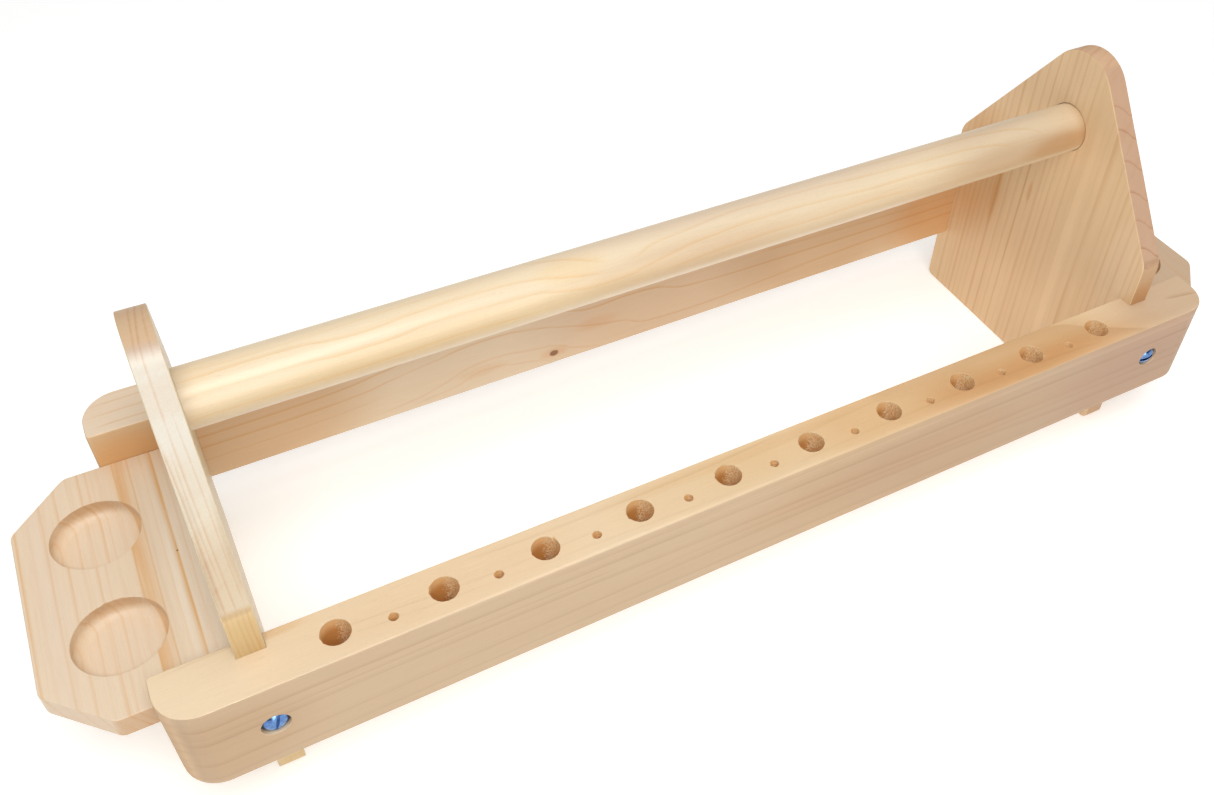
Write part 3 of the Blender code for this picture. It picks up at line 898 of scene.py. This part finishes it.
def pine(board):
    """Pine with growth lines, tones, fibres, resin dashes, knots and end grain."""
    f = Finish(board.name)
    place = f.millimetres()
    normal = f.node("ShaderNodeNewGeometry", output="Normal")
    x = f.dot(place, board.grain)
    y = f.dot(place, board.across)
    z = f.minus(f.dot(place, board.grain.cross(board.across)), board.surface)

    # Growth lines: solid through the board, with a slow wander and a lean through the thickness.
    slow = f.noise(f.stretched(x, y, z, WANDER, board.seed), 1.0)
    ring = f.swayed(y, slow, board.wander * 4)
    ring = f.math("MULTIPLY_ADD", z, board.lean, ring)
    dark = straight_lines(f, board, ring)
    if board.pith:
        dark = f.math("MAXIMUM", dark, pith_rings(f, board, ring, z))
    uneven = f.noise(f.stretched(x, ring, z, UNEVEN, board.seed), 2.0)
    dark = f.times(dark, f.fade(uneven, *BREAK_LEVELS, 0.5, 1.0))

    # Each face with a figure of its own covers the solid lines there.
    shown = []
    for face in board.faces:
        mask = f.fade(f.dot(normal, face.toward), *face.facing)
        along, across = f.dot(place, face.along), place_across(f, face, place)
        shown.append((face, mask, along, across))
        if face.drawn:
            lines = drawn_lines(f, face, along, across)
            lines = f.times(lines, f.fade(uneven, *BREAK_LEVELS, 0.7, 1.0))
            dark = f.blend(mask, dark, lines)

    faint = f.noise(f.stretched(x, ring, z, FAINT, board.seed), 3.0, 0.6)
    cloud = f.noise(f.stretched(x, y, z, CLOUD, board.seed + 5), 2.0)
    fibre = f.noise(f.stretched(x, y, z, FIBRE, board.seed), 3.0, 0.6)
    speckle = f.noise(f.stretched(x, y, z, SPECKLE, 0.0), 2.0, 0.6)
    dashes = f.noise(f.stretched(x, y, z, DASHES, board.seed), 1.0)
    end = f.fade(f.math("ABSOLUTE", f.dot(normal, board.grain)), *board.end_facing)

    amount = f.clamped("MULTIPLY_ADD", f.minus(faint, 0.5), board.streaks * 2, dark)
    amount = f.clamped("MULTIPLY_ADD", f.minus(cloud, 0.45), CLOUD_SHADE, amount)
    colour = f.mix(amount, board.early, board.late)
    for face, mask, along, across in shown:
        if face.tone:
            colour = f.toned(mask, colour, face.tone)
        for middle_x, middle_y, half_x, half_y, tone, strength in face.patches:
            inside = oval(f, along, across, middle_x, middle_y, half_x, half_y, 0.35)
            colour = f.toned(f.times(f.times(inside, mask), strength), colour, tone)
        for knot_x, knot_y, radius in face.knots:
            inside = oval(f, along, across, knot_x, knot_y, radius * 1.3, radius, 0.6)
            colour = f.mix(f.times(inside, mask), colour, f.mix(speckle, KNOT_DARK, KNOT_BROWN))
    shade = f.swayed(f.swayed(1.0, fibre, FIBRE_SHADE), speckle, SPECKLE_SHADE)
    shade = f.minus(shade, f.fade(dashes, *DASH_LEVELS, 0.0, DASH_SHADE))
    colour = f.mix(1.0, colour, f.join(shade, shade, shade), "MULTIPLY")
    colour = f.toned(end, colour, board.end_tint)
    if board.bores:
        colour = f.mix(bore_mask(f, board, place), colour, torn_wall_with_painted_light(f, place, normal))
    f.surface("Base Color", colour)

    rough = f.swayed(board.roughness, fibre, FIBRE_ROUGHNESS)
    f.surface("Roughness", f.math("MULTIPLY_ADD", end, END_ROUGHNESS, rough))
    f.surface("IOR", WOOD_IOR)
    f.surface("Coat Weight", board.coat)
    f.surface("Coat Roughness", COAT_ROUGHNESS)
    relief = f.math("MULTIPLY_ADD", dark, LINE_RELIEF, f.math("MULTIPLY_ADD", end, speckle, fibre))
    bump = f.node("ShaderNodeBump", {"Strength": 0.35, "Distance": WOOD_RELIEF, "Height": relief})
    f.surface("Normal", bump)
    return f.material


def blue_zinc():
    """Blue zinc plating with faint clouds, and a roughness that varies finely."""
    f = Finish("blue_zinc_finish")
    place = f.millimetres()
    cloud = f.noise(place, 3.0)
    fine = f.node("ShaderNodeTexNoise", {"Vector": place, "Scale": 6.0, "Detail": 2.0})
    colour = f.mix(f.fade(cloud, 0.35, 0.65), ZINC_DEEP, ZINC_BRIGHT)
    f.surface("Base Color", colour)
    f.surface("Metallic", 1.0)
    f.surface("Roughness", f.fade(fine, 0.2, 0.8, 0.10, 0.20))
    bump = f.node("ShaderNodeBump", {"Strength": 0.2, "Distance": METAL_RELIEF, "Height": fine})
    f.surface("Normal", bump)
    return f.material


# ---------------------------------------------------------------- boards

# Hole walls: a brown for painted shade deep in the holes, and a gold for torn grain with painted light on it.
BORE_SHADE_BROWN = (0.70, 0.35, 0.11)
BORE_TAN = (0.82, 0.48, 0.19)
BORE_ORANGE = (0.98, 0.64, 0.30)
BORE_LIT_TORN_GOLD = (1.00, 0.83, 0.54)
CREAM = (0.78, 0.61, 0.41)
TAN = (0.58, 0.39, 0.22)
AMBER = (0.62, 0.36, 0.17)
RUSSET = (0.70, 0.40, 0.16)
ORANGE = (0.90, 0.76, 0.58)
PINKISH = (0.98, 0.90, 0.86)
BROWNISH = (0.80, 0.66, 0.52)
PALE = (1.08, 1.10, 1.14)
KNOT_DARK = (0.16, 0.07, 0.03)
KNOT_BROWN = (0.40, 0.18, 0.07)
ZINC_DEEP = (0.09, 0.17, 0.40)
ZINC_BRIGHT = (0.14, 0.27, 0.50)
PAPER_GREY = (0.85, 0.85, 0.85)
PAPER_WHITE = (0.87, 0.87, 0.87)

FRONT_RAIL_TOP = Face(
    Z_AXIS, X_AXIS, Y_AXIS,
    drawn=(
        (((40, -47.5), (100, -48), (130, -50.5), (145, -58), (160, -66), (172, -71)), 0.55, -15.0),
        (((-110, -52.5), (-80, -54), (-52, -54), (-24, -53.5), (10, -51)), 0.35, 1.6),
        (((-160, -58), (-140, -59.5), (-100, -61), (-60, -60.5)), 0.22, 1.2),
        (((-150, -62), (-110, -64), (-60, -65.5), (-10, -67)), 0.20, 1.5),
        (((-20, -57), (20, -55), (60, -52.5), (90, -50.5)), 0.22, 1.8),
        (((0, -66), (60, -64), (110, -64.5), (150, -68)), 0.25, 2.0),
        (((182, -58.5), (190, -60), (201, -62)), 0.8, 2.5),
        (((-201, -52), (-180, -51), (-160, -50.6)), 0.45, 1.2),
    ),
    patches=(
        (-190, -60, 30, 14, PALE, 0.5),
        (-165, -51.5, 12, 2.2, ORANGE, 0.6),
        (-110, -60, 60, 16, (0.97, 0.93, 0.88), 0.8),
        (-15, -53.5, 60, 4, ORANGE, 0.35),
        (30, -59, 70, 18, (0.94, 0.87, 0.76), 0.9),
        (-28, -59, 45, 16, (0.96, 0.92, 0.84), 0.8),
        (50, -58, 50, 20, (0.94, 0.85, 0.74), 0.9),
        (115, -67, 75, 14, (0.89, 0.72, 0.56), 0.95),
        (110, -58, 62, 18, (0.83, 0.69, 0.53), 0.95),
        (185, -58, 38, 24, (0.82, 0.76, 0.74), 0.95),
    ))
# The tone darkens the whole front face against the top: painted shade on the vertical face.
FRONT_RAIL_FRONT = Face(
    -Y_AXIS, X_AXIS, Z_AXIS, tone=(0.735, 0.680, 0.630),
    drawn=(
        (((-90, 62.0), (-40, 61.5), (60, 60.5), (201, 60.0)), 0.40, 0.9),
        (((-201, 57), (-150, 57.5), (-60, 57.2), (60, 56.2), (201, 55)), 0.50, 2.5),
        (((-201, 53), (-170, 53.4), (-120, 54.0), (-60, 53.2)), 0.35, 1.5),
        (((-201, 49), (-120, 50.5), (0, 48.5), (120, 46), (201, 46)), 0.40, 3.0),
        (((-60, 44), (0, 45), (90, 43), (201, 41.5)), 0.30, 2.0),
        (((-201, 38), (-100, 40), (40, 41), (140, 37), (201, 36)), 0.36, 3.5),
        (((-201, 31), (-60, 33), (80, 31.5), (201, 30)), 0.30, 2.5),
    ),
    patches=(
        (90, 61.3, 190, 2.0, PALE, 0.7),
        (-190, 46, 40, 26, BROWNISH, 0.45),
        (60, 48, 130, 8, PINKISH, 0.4),
        (110, 46, 150, 30, (0.87, 0.83, 0.83), 0.9),
        (50, 46, 90, 60, (1.0, 0.95, 0.88), 0.9),
        (190, 44, 60, 40, (0.96, 0.91, 0.91), 0.8),
        (165, 46, 60, 60, (0.94, 0.87, 0.88), 0.9),
    ))
BACK_RAIL_INNER = Face(
    -Y_AXIS, X_AXIS, Z_AXIS,
    drawn=(
        (((-201, 49), (-168, 49), (-130, 49.5), (-100, 52.6), (-80, 54.6), (-50, 54), (-33, 54.4),
          (-15, 51.2), (0, 52), (10, 51.5), (30, 46.6), (60, 45.5), (201, 45.5)), 0.75, 1.5),
        (((-201, 43.5), (-168, 43.7), (-130, 44), (-110, 45), (-100, 46.8), (-80, 49.8), (-60, 52),
          (-45, 50.4), (-30, 46.5), (-15, 41.7), (0, 38.5), (10, 34.6), (30, 33.8), (70, 36), (100, 38),
          (201, 40)), 0.65, 1.5),
        (((-110, 31.5), (-92, 33), (-80, 36), (-65, 41), (-57, 41.4), (-45, 39.5), (-33, 37.5), (-24, 33),
          (-10, 29)), 0.45, 1.6),
        (((-95, 30.5), (-74, 33), (-62, 36.5), (-50, 34.6), (-33, 30), (-28, 28.6)), 0.4, 1.6),
        (((60, 52.5), (110, 50.5), (150, 49.8), (201, 49.5)), 0.5, 1.6),
        (((90, 57), (130, 55), (201, 54)), 0.4, 1.4),
        (((-201, 36.5), (-160, 37.5), (-125, 38.2), (-100, 40)), 0.4, 1.6),
    ),
    patches=(
        # The orange darkening at the left end, between the panel and the rail's end above the tray, is
        # painted shade in the corner.
        (-190, 46, 30, 26, (1.0, 0.74, 0.48), 0.9),
        (-145, 46, 50, 40, (0.86, 0.74, 0.64), 0.9),
        (-70, 46, 70, 40, (0.95, 0.98, 1.06), 0.9),
        (15, 46, 75, 40, (0.87, 0.80, 0.78), 0.95),
        (95, 46, 65, 40, (0.81, 0.70, 0.60), 0.95),
        (-33, 34, 8, 3.5, (0.96, 0.80, 0.66), 0.8),
        (-14, 43, 13, 4.5, (0.97, 0.83, 0.72), 0.7),
        (-64, 37, 14, 4.0, (0.96, 0.86, 0.76), 0.6),
        (165, 46, 45, 40, (0.89, 0.66, 0.46), 0.95),
    ),
    knots=((-33, 33.8, 1.8),))
BACK_RAIL_TOP_LINES = ((53.2, 0.75, 1.0), (58.4, 0.7, 1.2), (63.6, 0.6, 1.1), (67.0, 0.4, 0.9))
BACK_RAIL_TOP = Face(
    Z_AXIS, X_AXIS, Y_AXIS,
    drawn=tuple((((-201, y), (-160, y + 0.6), (-60, y - 0.5), (60, y + 0.8), (201, y)), strength, width)
                for y, strength, width in BACK_RAIL_TOP_LINES),
    patches=((-185, 57, 50, 20, (1.02, 1.06, 1.20), 0.9),))

LEFT_TRAY_LINES = ((-228.4, 0.75, -0.8), (-224, 0.2, 1.5), (-220, 0.4, 1.2), (-215, 0.5, 0.9),
                   (-211, 0.2, 1.5), (-207.3, 0.6, 1.2), (-205, 0.3, 0.9), (-201, 0.2, 2.0),
                   (-196.5, 0.9, -5.0), (-191.6, 0.9, 0.6), (-187.5, 0.25, 1.5), (-184, 1.0, 1.6),
                   (-181, 0.35, 0.9))
RIGHT_TRAY_LINES = ((181, 0.3, 2), (186, 0.25, 1.5), (190, 0.4, 2), (195, 0.3, 1.5), (199, 0.4, 3),
                    (204, 0.25, 1.5), (208, 0.3, 2), (213, 0.3, 1.5), (219.5, 0.8, 1.5), (225, 0.3, 1.5))
PANEL_LINES = ((-52, 0.35, 1.2), (-49, 0.3, 1.5), (-44, 0.4, 1.0), (-40.5, 0.25, 1.2), (-37, 0.4, 1.5),
               (-34, 0.2, 1.0), (-31, 0.35, 1.0), (-24, 0.5, 3.0), (-20.5, 0.2, 1.0), (-8, 0.35, 1.2),
               (-4, 0.25, 1.5), (-0.5, 0.5, 1.2), (2.5, 0.25, 1.0), (5.5, 0.45, 1.8), (9, 0.25, 1.2),
               (12.7, 0.9, 1.0), (17, 0.3, 1.5), (21.5, 0.65, 1.6), (27, 0.55, 2.0), (31, 0.3, 1.2),
               (34, 0.45, 1.2), (37, 0.3, 1.0), (40, 0.6, 1.2), (42.5, 0.35, 1.0), (45, 0.4, 1.0),
               (49, 0.45, 1.5), (52, 0.4, 1.2))
PANEL_FACE = Face(
    -X_AXIS, Z_AXIS, Y_AXIS,
    patches=((60, -16, 80, 3.5, PALE, 0.8), (78, 9, 7, 1.6, (0.86, 0.66, 0.52), 0.6),
             (66, 27, 22, 3.0, ORANGE, 0.7), (30, 10, 50, 60, (0.93, 0.90, 0.89), 0.9),
             (110, -2, 40, 14, PALE, 0.25), (70, 40, 40, 22, (0.91, 0.76, 0.62), 0.85),
             (70, -45, 40, 12, (1.05, 1.10, 1.20), 0.8)))
DOWEL_LINES = ((72.7, 0.25, 1.2), (76.7, 0.3, 1.6), (81.7, 0.25, 1.8), (85.7, 0.35, 1.4), (88.3, 0.3, 0.9),
               (89.7, 0.45, 0.8), (90.6, 0.35, 0.4), (91.2, 0.4, 0.3))
DOWEL_SIDE = Face(
    Vector((0, -0.62, 0.78)), X_AXIS, Vector((0, 0.78, 0.62)), facing=(0.1, 0.4),
    curved=((0, 0, HANDLE_Z * 1000), HANDLE_RADIUS * 1000),
    drawn=(
        (((-172, 2.8), (-134, 3.2), (-125, 2.0), (-114, 1.6), (-103, 2.4), (-88, 2.9), (-70, 2.6), (-62, 1.8),
          (-53, -0.1), (-44, -1.9), (-34, -3.2)), 0.55, 1.6),
        (((-172, -1.6), (-134, -2.2), (-118, -3.1), (-108, -2.9), (-93, -1.8), (-78, -2.1), (-64, -2.6),
          (-55, -4.2), (-48, -5.5), (-39, -6.4), (-33, -6.3), (-23, -4.8), (-12, -3.0), (0, -1.6), (25, -0.7),
          (52, -1.5), (68, -2.1), (85, -2.3), (100, -2.8), (110, -3.6), (119, -6.0)), 0.5, 1.5),
        (((-66, 10.0), (-58, 8.2), (-49, 5.7), (-43, 3.2), (-34, -0.6)), 0.6, 1.8),
        (((-32, -2.2), (-24, -0.2), (-18, 1.8), (-10, 2.6), (0, 3.6), (12, 4.7), (31, 4.5), (50, 4.0),
          (62, 3.1), (84, 2.2), (94, 1.8), (112, 1.2), (122, 0.0), (130, -1.9), (133, -4.4),
          (136, -9.0)), 0.5, 1.5),
        (((60, 8.2), (85, 7.2), (100, 6.8), (115, 6.4), (125, 5.3), (135, 3.9), (142, 1.8), (147, -1.1),
          (150, -6.0), (152, -10)), 0.5, 1.4),
        (((-172, -9.0), (-133, -9.2), (-110, -9.0), (-90, -8.4), (-74, -8.8), (-60, -10.5)), 0.5, 1.6),
        (((-20, -9.5), (0, -7.3), (25, -6.6), (44, -6.9), (62, -6.5), (90, -8.5)), 0.5, 1.6),
        (((-172, 6.0), (-140, 5.4), (-110, 6.4), (-80, 7.2)), 0.3, 1.6),
    ),
    patches=(
        (-90, -7, 110, 6, (0.98, 0.93, 0.78), 0.8),
        (-48, 2, 16, 6, (0.98, 0.90, 0.74), 0.6),
        (40, 8, 150, 7, (0.96, 0.92, 0.95), 0.7),
        (60, -8, 110, 7, (0.93, 0.87, 0.80), 0.8),
        (140, 2, 60, 16, (0.84, 0.79, 0.76), 0.9),
        (158, -8, 26, 7, (0.86, 0.70, 0.54), 0.9),
        (-13, -6, 60, 9, (0.88, 0.81, 0.76), 0.9),
        (-100, -7, 60, 8, (0.95, 0.91, 0.88), 0.8),
        (140, -7, 60, 9, (0.84, 0.76, 0.68), 0.9),
        (30, 4, 90, 12, (0.93, 0.92, 0.93), 0.9),
        (172, 0, 9, 16, (0.86, 0.74, 0.60), 0.9),
    ))

FRONT_RAIL = Board("front_rail_pine", X_AXIS, Z_AXIS, CREAM, TAN, surface=69, seed=1.0, streaks=0.22,
                   wander=1.5, pith=(-30, 40), spacing=4.2, rings=0.4, bores=(-59.5, 6.0),
                   faces=(FRONT_RAIL_TOP, FRONT_RAIL_FRONT))
BACK_RAIL = Board("back_rail_pine", X_AXIS, Z_AXIS, CREAM, RUSSET, surface=-50, seed=2.0, streaks=0.25,
                  wander=1.2, pith=(70, -50), spacing=3.6, rings=0.6, bores=(59.5, 6.0),
                  faces=(BACK_RAIL_INNER, BACK_RAIL_TOP))
SLOPE_UP, SLOPE_OUT = Vector((0, 0.607, 0.795)), Vector((0, -0.795, 0.607))
LEFT_PANEL_SLOPE = Face(
    SLOPE_OUT, SLOPE_UP, X_AXIS, facing=(0.88, 0.96), tone=(0.92, 0.92, 0.94),
    drawn=(
        (((20, -171.5), (50, -172.6), (80, -173.2), (120, -173.0)), 0.55, 0.8),
        (((25, -174.6), (45, -175.2), (70, -175.6), (90, -176.5)), 0.70, 0.9),
        (((30, -169.2), (48, -170.0), (66, -170.2), (95, -171.0)), 0.50, 0.7),
        (((38, -173.4), (60, -174.2), (85, -174.4)), 0.45, 0.6),
    ),
    patches=(
        # The whitish patch high on the slope is a painted sheen.
        (86, -172, 44, 30, (1.06, 1.18, 1.50), 0.9),
        (45, -176, 16, 1.8, (0.84, 0.78, 0.70), 0.7),
        (52, -168.6, 18, 1.3, (0.86, 0.80, 0.72), 0.7),
        (95, -172, 7, 30, (0.95, 0.88, 0.80), 0.5),
        (62, -175, 10, 2.0, (0.86, 0.84, 0.82), 0.5),
        (41, -172, 20, 30, (0.87, 0.82, 0.79), 0.9),
        (66, -172, 20, 30, (0.95, 0.92, 0.85), 0.8),
    ))
LEFT_FOOT_LINES = ((-175.3, 0.45), (-173.9, 0.3), (-172.4, 0.5), (-171.0, 0.35), (-169.6, 0.5))
LEFT_PANEL_FOOT = Face(
    -Y_AXIS, Z_AXIS, X_AXIS, facing=(0.86, 0.96), tone=(0.97, 0.84, 0.62),
    drawn=tuple((((40, x), (66, x + 0.1), (78, x - 0.2), (92, x + 0.5)), strength, 0.7)
                for x, strength in LEFT_FOOT_LINES))
LEFT_PANEL_APEX = Face(
    Z_AXIS, Y_AXIS, X_AXIS, facing=(0.66, 0.80),
    drawn=(
        (((-30, -175.4), (-12, -174.6), (0, -173.4), (20, -172.5)), 0.55, 0.9),
        (((-30, -173.0), (-14, -173.2), (2, -171.6), (20, -170.2)), 0.65, 0.8),
        (((-30, -170.6), (-10, -170.4), (4, -169.6), (20, -168.6)), 0.45, 0.8),
    ))
LEFT_PANEL = Board("left_panel_pine", Z_AXIS, Vector((0, 1, 0.02)), (0.72, 0.60, 0.40), AMBER, surface=168,
                   seed=3.0, streaks=0.3, lines=PANEL_LINES, lean=0.3, end_tint=(0.80, 0.66, 0.60),
                   end_facing=(0.70, 0.86), roughness=0.42, coat=0.2,
                   faces=(LEFT_PANEL_SLOPE, LEFT_PANEL_FOOT, LEFT_PANEL_APEX))
RIGHT_SLOPE_LINES = ((30, 0.7), (38, 0.95), (49, 0.6), (60, 0.8), (72, 0.6), (84, 0.8), (93, 0.6))
RIGHT_PANEL_SLOPE = Face(
    SLOPE_OUT, X_AXIS, SLOPE_UP, facing=(0.88, 0.96), tone=(0.89, 0.87, 0.92),
    drawn=tuple((((160, up + 3), (168, up + 3), (172, up + 1.0), (176, up - 2.5), (184, up - 4)),
                 strength, 1.2) for up, strength in RIGHT_SLOPE_LINES))
RIGHT_PANEL_FOOT = Face(-Y_AXIS, Z_AXIS, X_AXIS, facing=(0.80, 0.92), tone=(0.72, 0.62, 0.56),
                        patches=((66, 172, 12, 12, (1.0, 0.80, 0.56), 0.7),))
RIGHT_PANEL = Board("right_panel_pine", Z_AXIS, Y_AXIS, (0.785, 0.56, 0.33), (0.60, 0.33, 0.14),
                    surface=-168, seed=4.0, streaks=0.28, lines=PANEL_LINES, lean=0.4, wander=0.35,
                    end_tint=(0.78, 0.70, 0.72), end_facing=(0.3, 0.62),
                    faces=(PANEL_FACE, RIGHT_PANEL_SLOPE, RIGHT_PANEL_FOOT))
LEFT_TRAY_TOP = Face(
    Z_AXIS, Y_AXIS, X_AXIS,
    patches=(
        (0, -194, 70, 3.2, (1.0, 0.94, 0.86), 0.8),
        # The lighter strip beside the panel is painted light laid over the panel's shadow.
        (-10, -181, 60, 9, (1.12, 1.19, 1.28), 0.9),
        (0, -187.5, 70, 3.0, (1.07, 1.11, 1.16), 0.8),
        (0, -222, 60, 6, (0.99, 1.0, 1.04), 0.8),
    ),
    knots=((3, -184, 0.35),))
LEFT_TRAY = Board("left_tray_pine", Y_AXIS, X_AXIS, (0.78, 0.63, 0.47), RUSSET, surface=-50.6, seed=5.0,
                  start=-234, end=-170, lines=LEFT_TRAY_LINES, lean=-0.5, wander=0.3, faces=(LEFT_TRAY_TOP,),
                  end_tint=(0.81, 0.69, 0.57), end_facing=(0.55, 1.0))
# The right tray's colour, darker than the left tray's, is painted shade from the right panel.
RIGHT_TRAY = Board("right_tray_pine_painted_shade", Y_AXIS, X_AXIS, (0.58, 0.425, 0.29), AMBER, surface=-50.6, seed=6.0,
                   start=170, end=234, lines=RIGHT_TRAY_LINES, lean=0.4, wander=0.3)
HANDLE = Board("handle_pine_finish", X_AXIS, Vector((0, -0.7, 0.7)), (0.80, 0.655, 0.455), (0.76, 0.50, 0.22),
               seed=7.0, start=69, end=93, lines=DOWEL_LINES, wander=0.10, streaks=0.12, roughness=0.40,
               coat=0.3, faces=(DOWEL_SIDE,))
PIN = Board("pin_beech_finish", Y_AXIS, X_AXIS, (0.60, 0.42, 0.26), (0.45, 0.28, 0.15), seed=8.0)


# ---------------------------------------------------------------- camera and studio

def make_camera():
    camera = bpy.data.cameras.new("camera")
    camera.lens = CAMERA_LENS_MM
    camera.sensor_width = CAMERA_SENSOR_MM
    camera.sensor_fit = "HORIZONTAL"
    camera.shift_x, camera.shift_y = CAMERA_SHIFT
    camera.clip_start = 0.01
    camera.clip_end = 20.0
    thing = bpy.data.objects.new("camera", camera)
    bpy.context.scene.collection.objects.link(thing)
    look = (CAMERA_AIM - CAMERA_PLACE).to_track_quat("-Z", "Y").to_matrix().to_4x4()
    thing.matrix_world = Matrix.Translation(CAMERA_PLACE) @ look @ Matrix.Rotation(CAMERA_ROLL, 4, "Z")
    bpy.context.scene.camera = thing


def add_softbox(name, place, size, power, colour):
    light = bpy.data.lights.new(name, "AREA")
    light.shape = "SQUARE"
    light.size = size
    light.energy = power
    light.color = colour
    thing = bpy.data.objects.new(name, light)
    bpy.context.scene.collection.objects.link(thing)
    look = (Vector(STUDIO_AIM) - Vector(place)).to_track_quat("-Z", "Y").to_matrix().to_4x4()
    thing.matrix_world = Matrix.Translation(place) @ look
    return thing


def make_sky():
    """An even white room, darker towards its walls."""
    world = bpy.data.worlds.new("studio")
    world.use_nodes = True
    nodes = world.node_tree.nodes
    links = world.node_tree.links
    direction = nodes.new("ShaderNodeTexCoord")
    parts = nodes.new("ShaderNodeSeparateXYZ")
    links.new(direction.outputs["Generated"], parts.inputs[0])
    height = nodes.new("ShaderNodeMapRange")
    links.new(parts.outputs["Z"], height.inputs["Value"])
    height.inputs["To Min"].default_value = WALL_STRENGTH
    height.inputs["To Max"].default_value = CEILING_STRENGTH
    links.new(height.outputs["Result"], nodes["Background"].inputs["Strength"])
    nodes["Background"].inputs["Color"].default_value = (*WHITE, 1.0)
    bpy.context.scene.world = world


def make_floor():
    """A sheet of white paper on a faintly lit table."""
    shape = bmesh.new()
    bmesh.ops.create_grid(shape, x_segments=8, y_segments=8, size=FLOOR_HALF_SIZE)
    floor = link("floor", shape)
    f = Finish("floor_paper")
    grain = f.node("ShaderNodeTexNoise", {"Vector": f.millimetres(), "Scale": 0.04, "Detail": 2.0})
    f.surface("Base Color", f.mix(grain, PAPER_GREY, PAPER_WHITE))
    f.surface("Roughness", FLOOR_ROUGHNESS)
    f.surface("Emission Color", WHITE)
    f.surface("Emission Strength", FLOOR_GLOW)
    floor.data.materials.append(f.material)


def make_studio():
    bpy.context.scene.view_settings.view_transform = "Standard"
    make_sky()
    add_softbox("key", KEY_PLACE, KEY_SIZE, KEY_POWER, WARM_WHITE)
    add_softbox("top", TOP_PLACE, TOP_SIZE, TOP_POWER, WHITE)
    glint = add_softbox("glint", GLINT_PLACE, GLINT_SIZE, GLINT_POWER, WHITE)
    glint.visible_diffuse = False
    glint.visible_camera = False
    make_floor()


def dress_pins():
    material = pine(PIN)
    for name, node in frame["nodes"].items():
        if name.endswith("_pin"):
            node.data.materials.clear()
            node.data.materials.append(material)


make_camera()
make_studio()
for row_name, row in ROWS:
    make_rail(row_name, row, pine(FRONT_RAIL if row < 0 else BACK_RAIL))
for side_name, side in SIDES:
    make_panel(side_name, side, pine(LEFT_PANEL if side < 0 else RIGHT_PANEL))
    make_tray(side_name, side, pine(LEFT_TRAY if side < 0 else RIGHT_TRAY))
make_handle(pine(HANDLE))
make_screws(blue_zinc())
dress_pins()
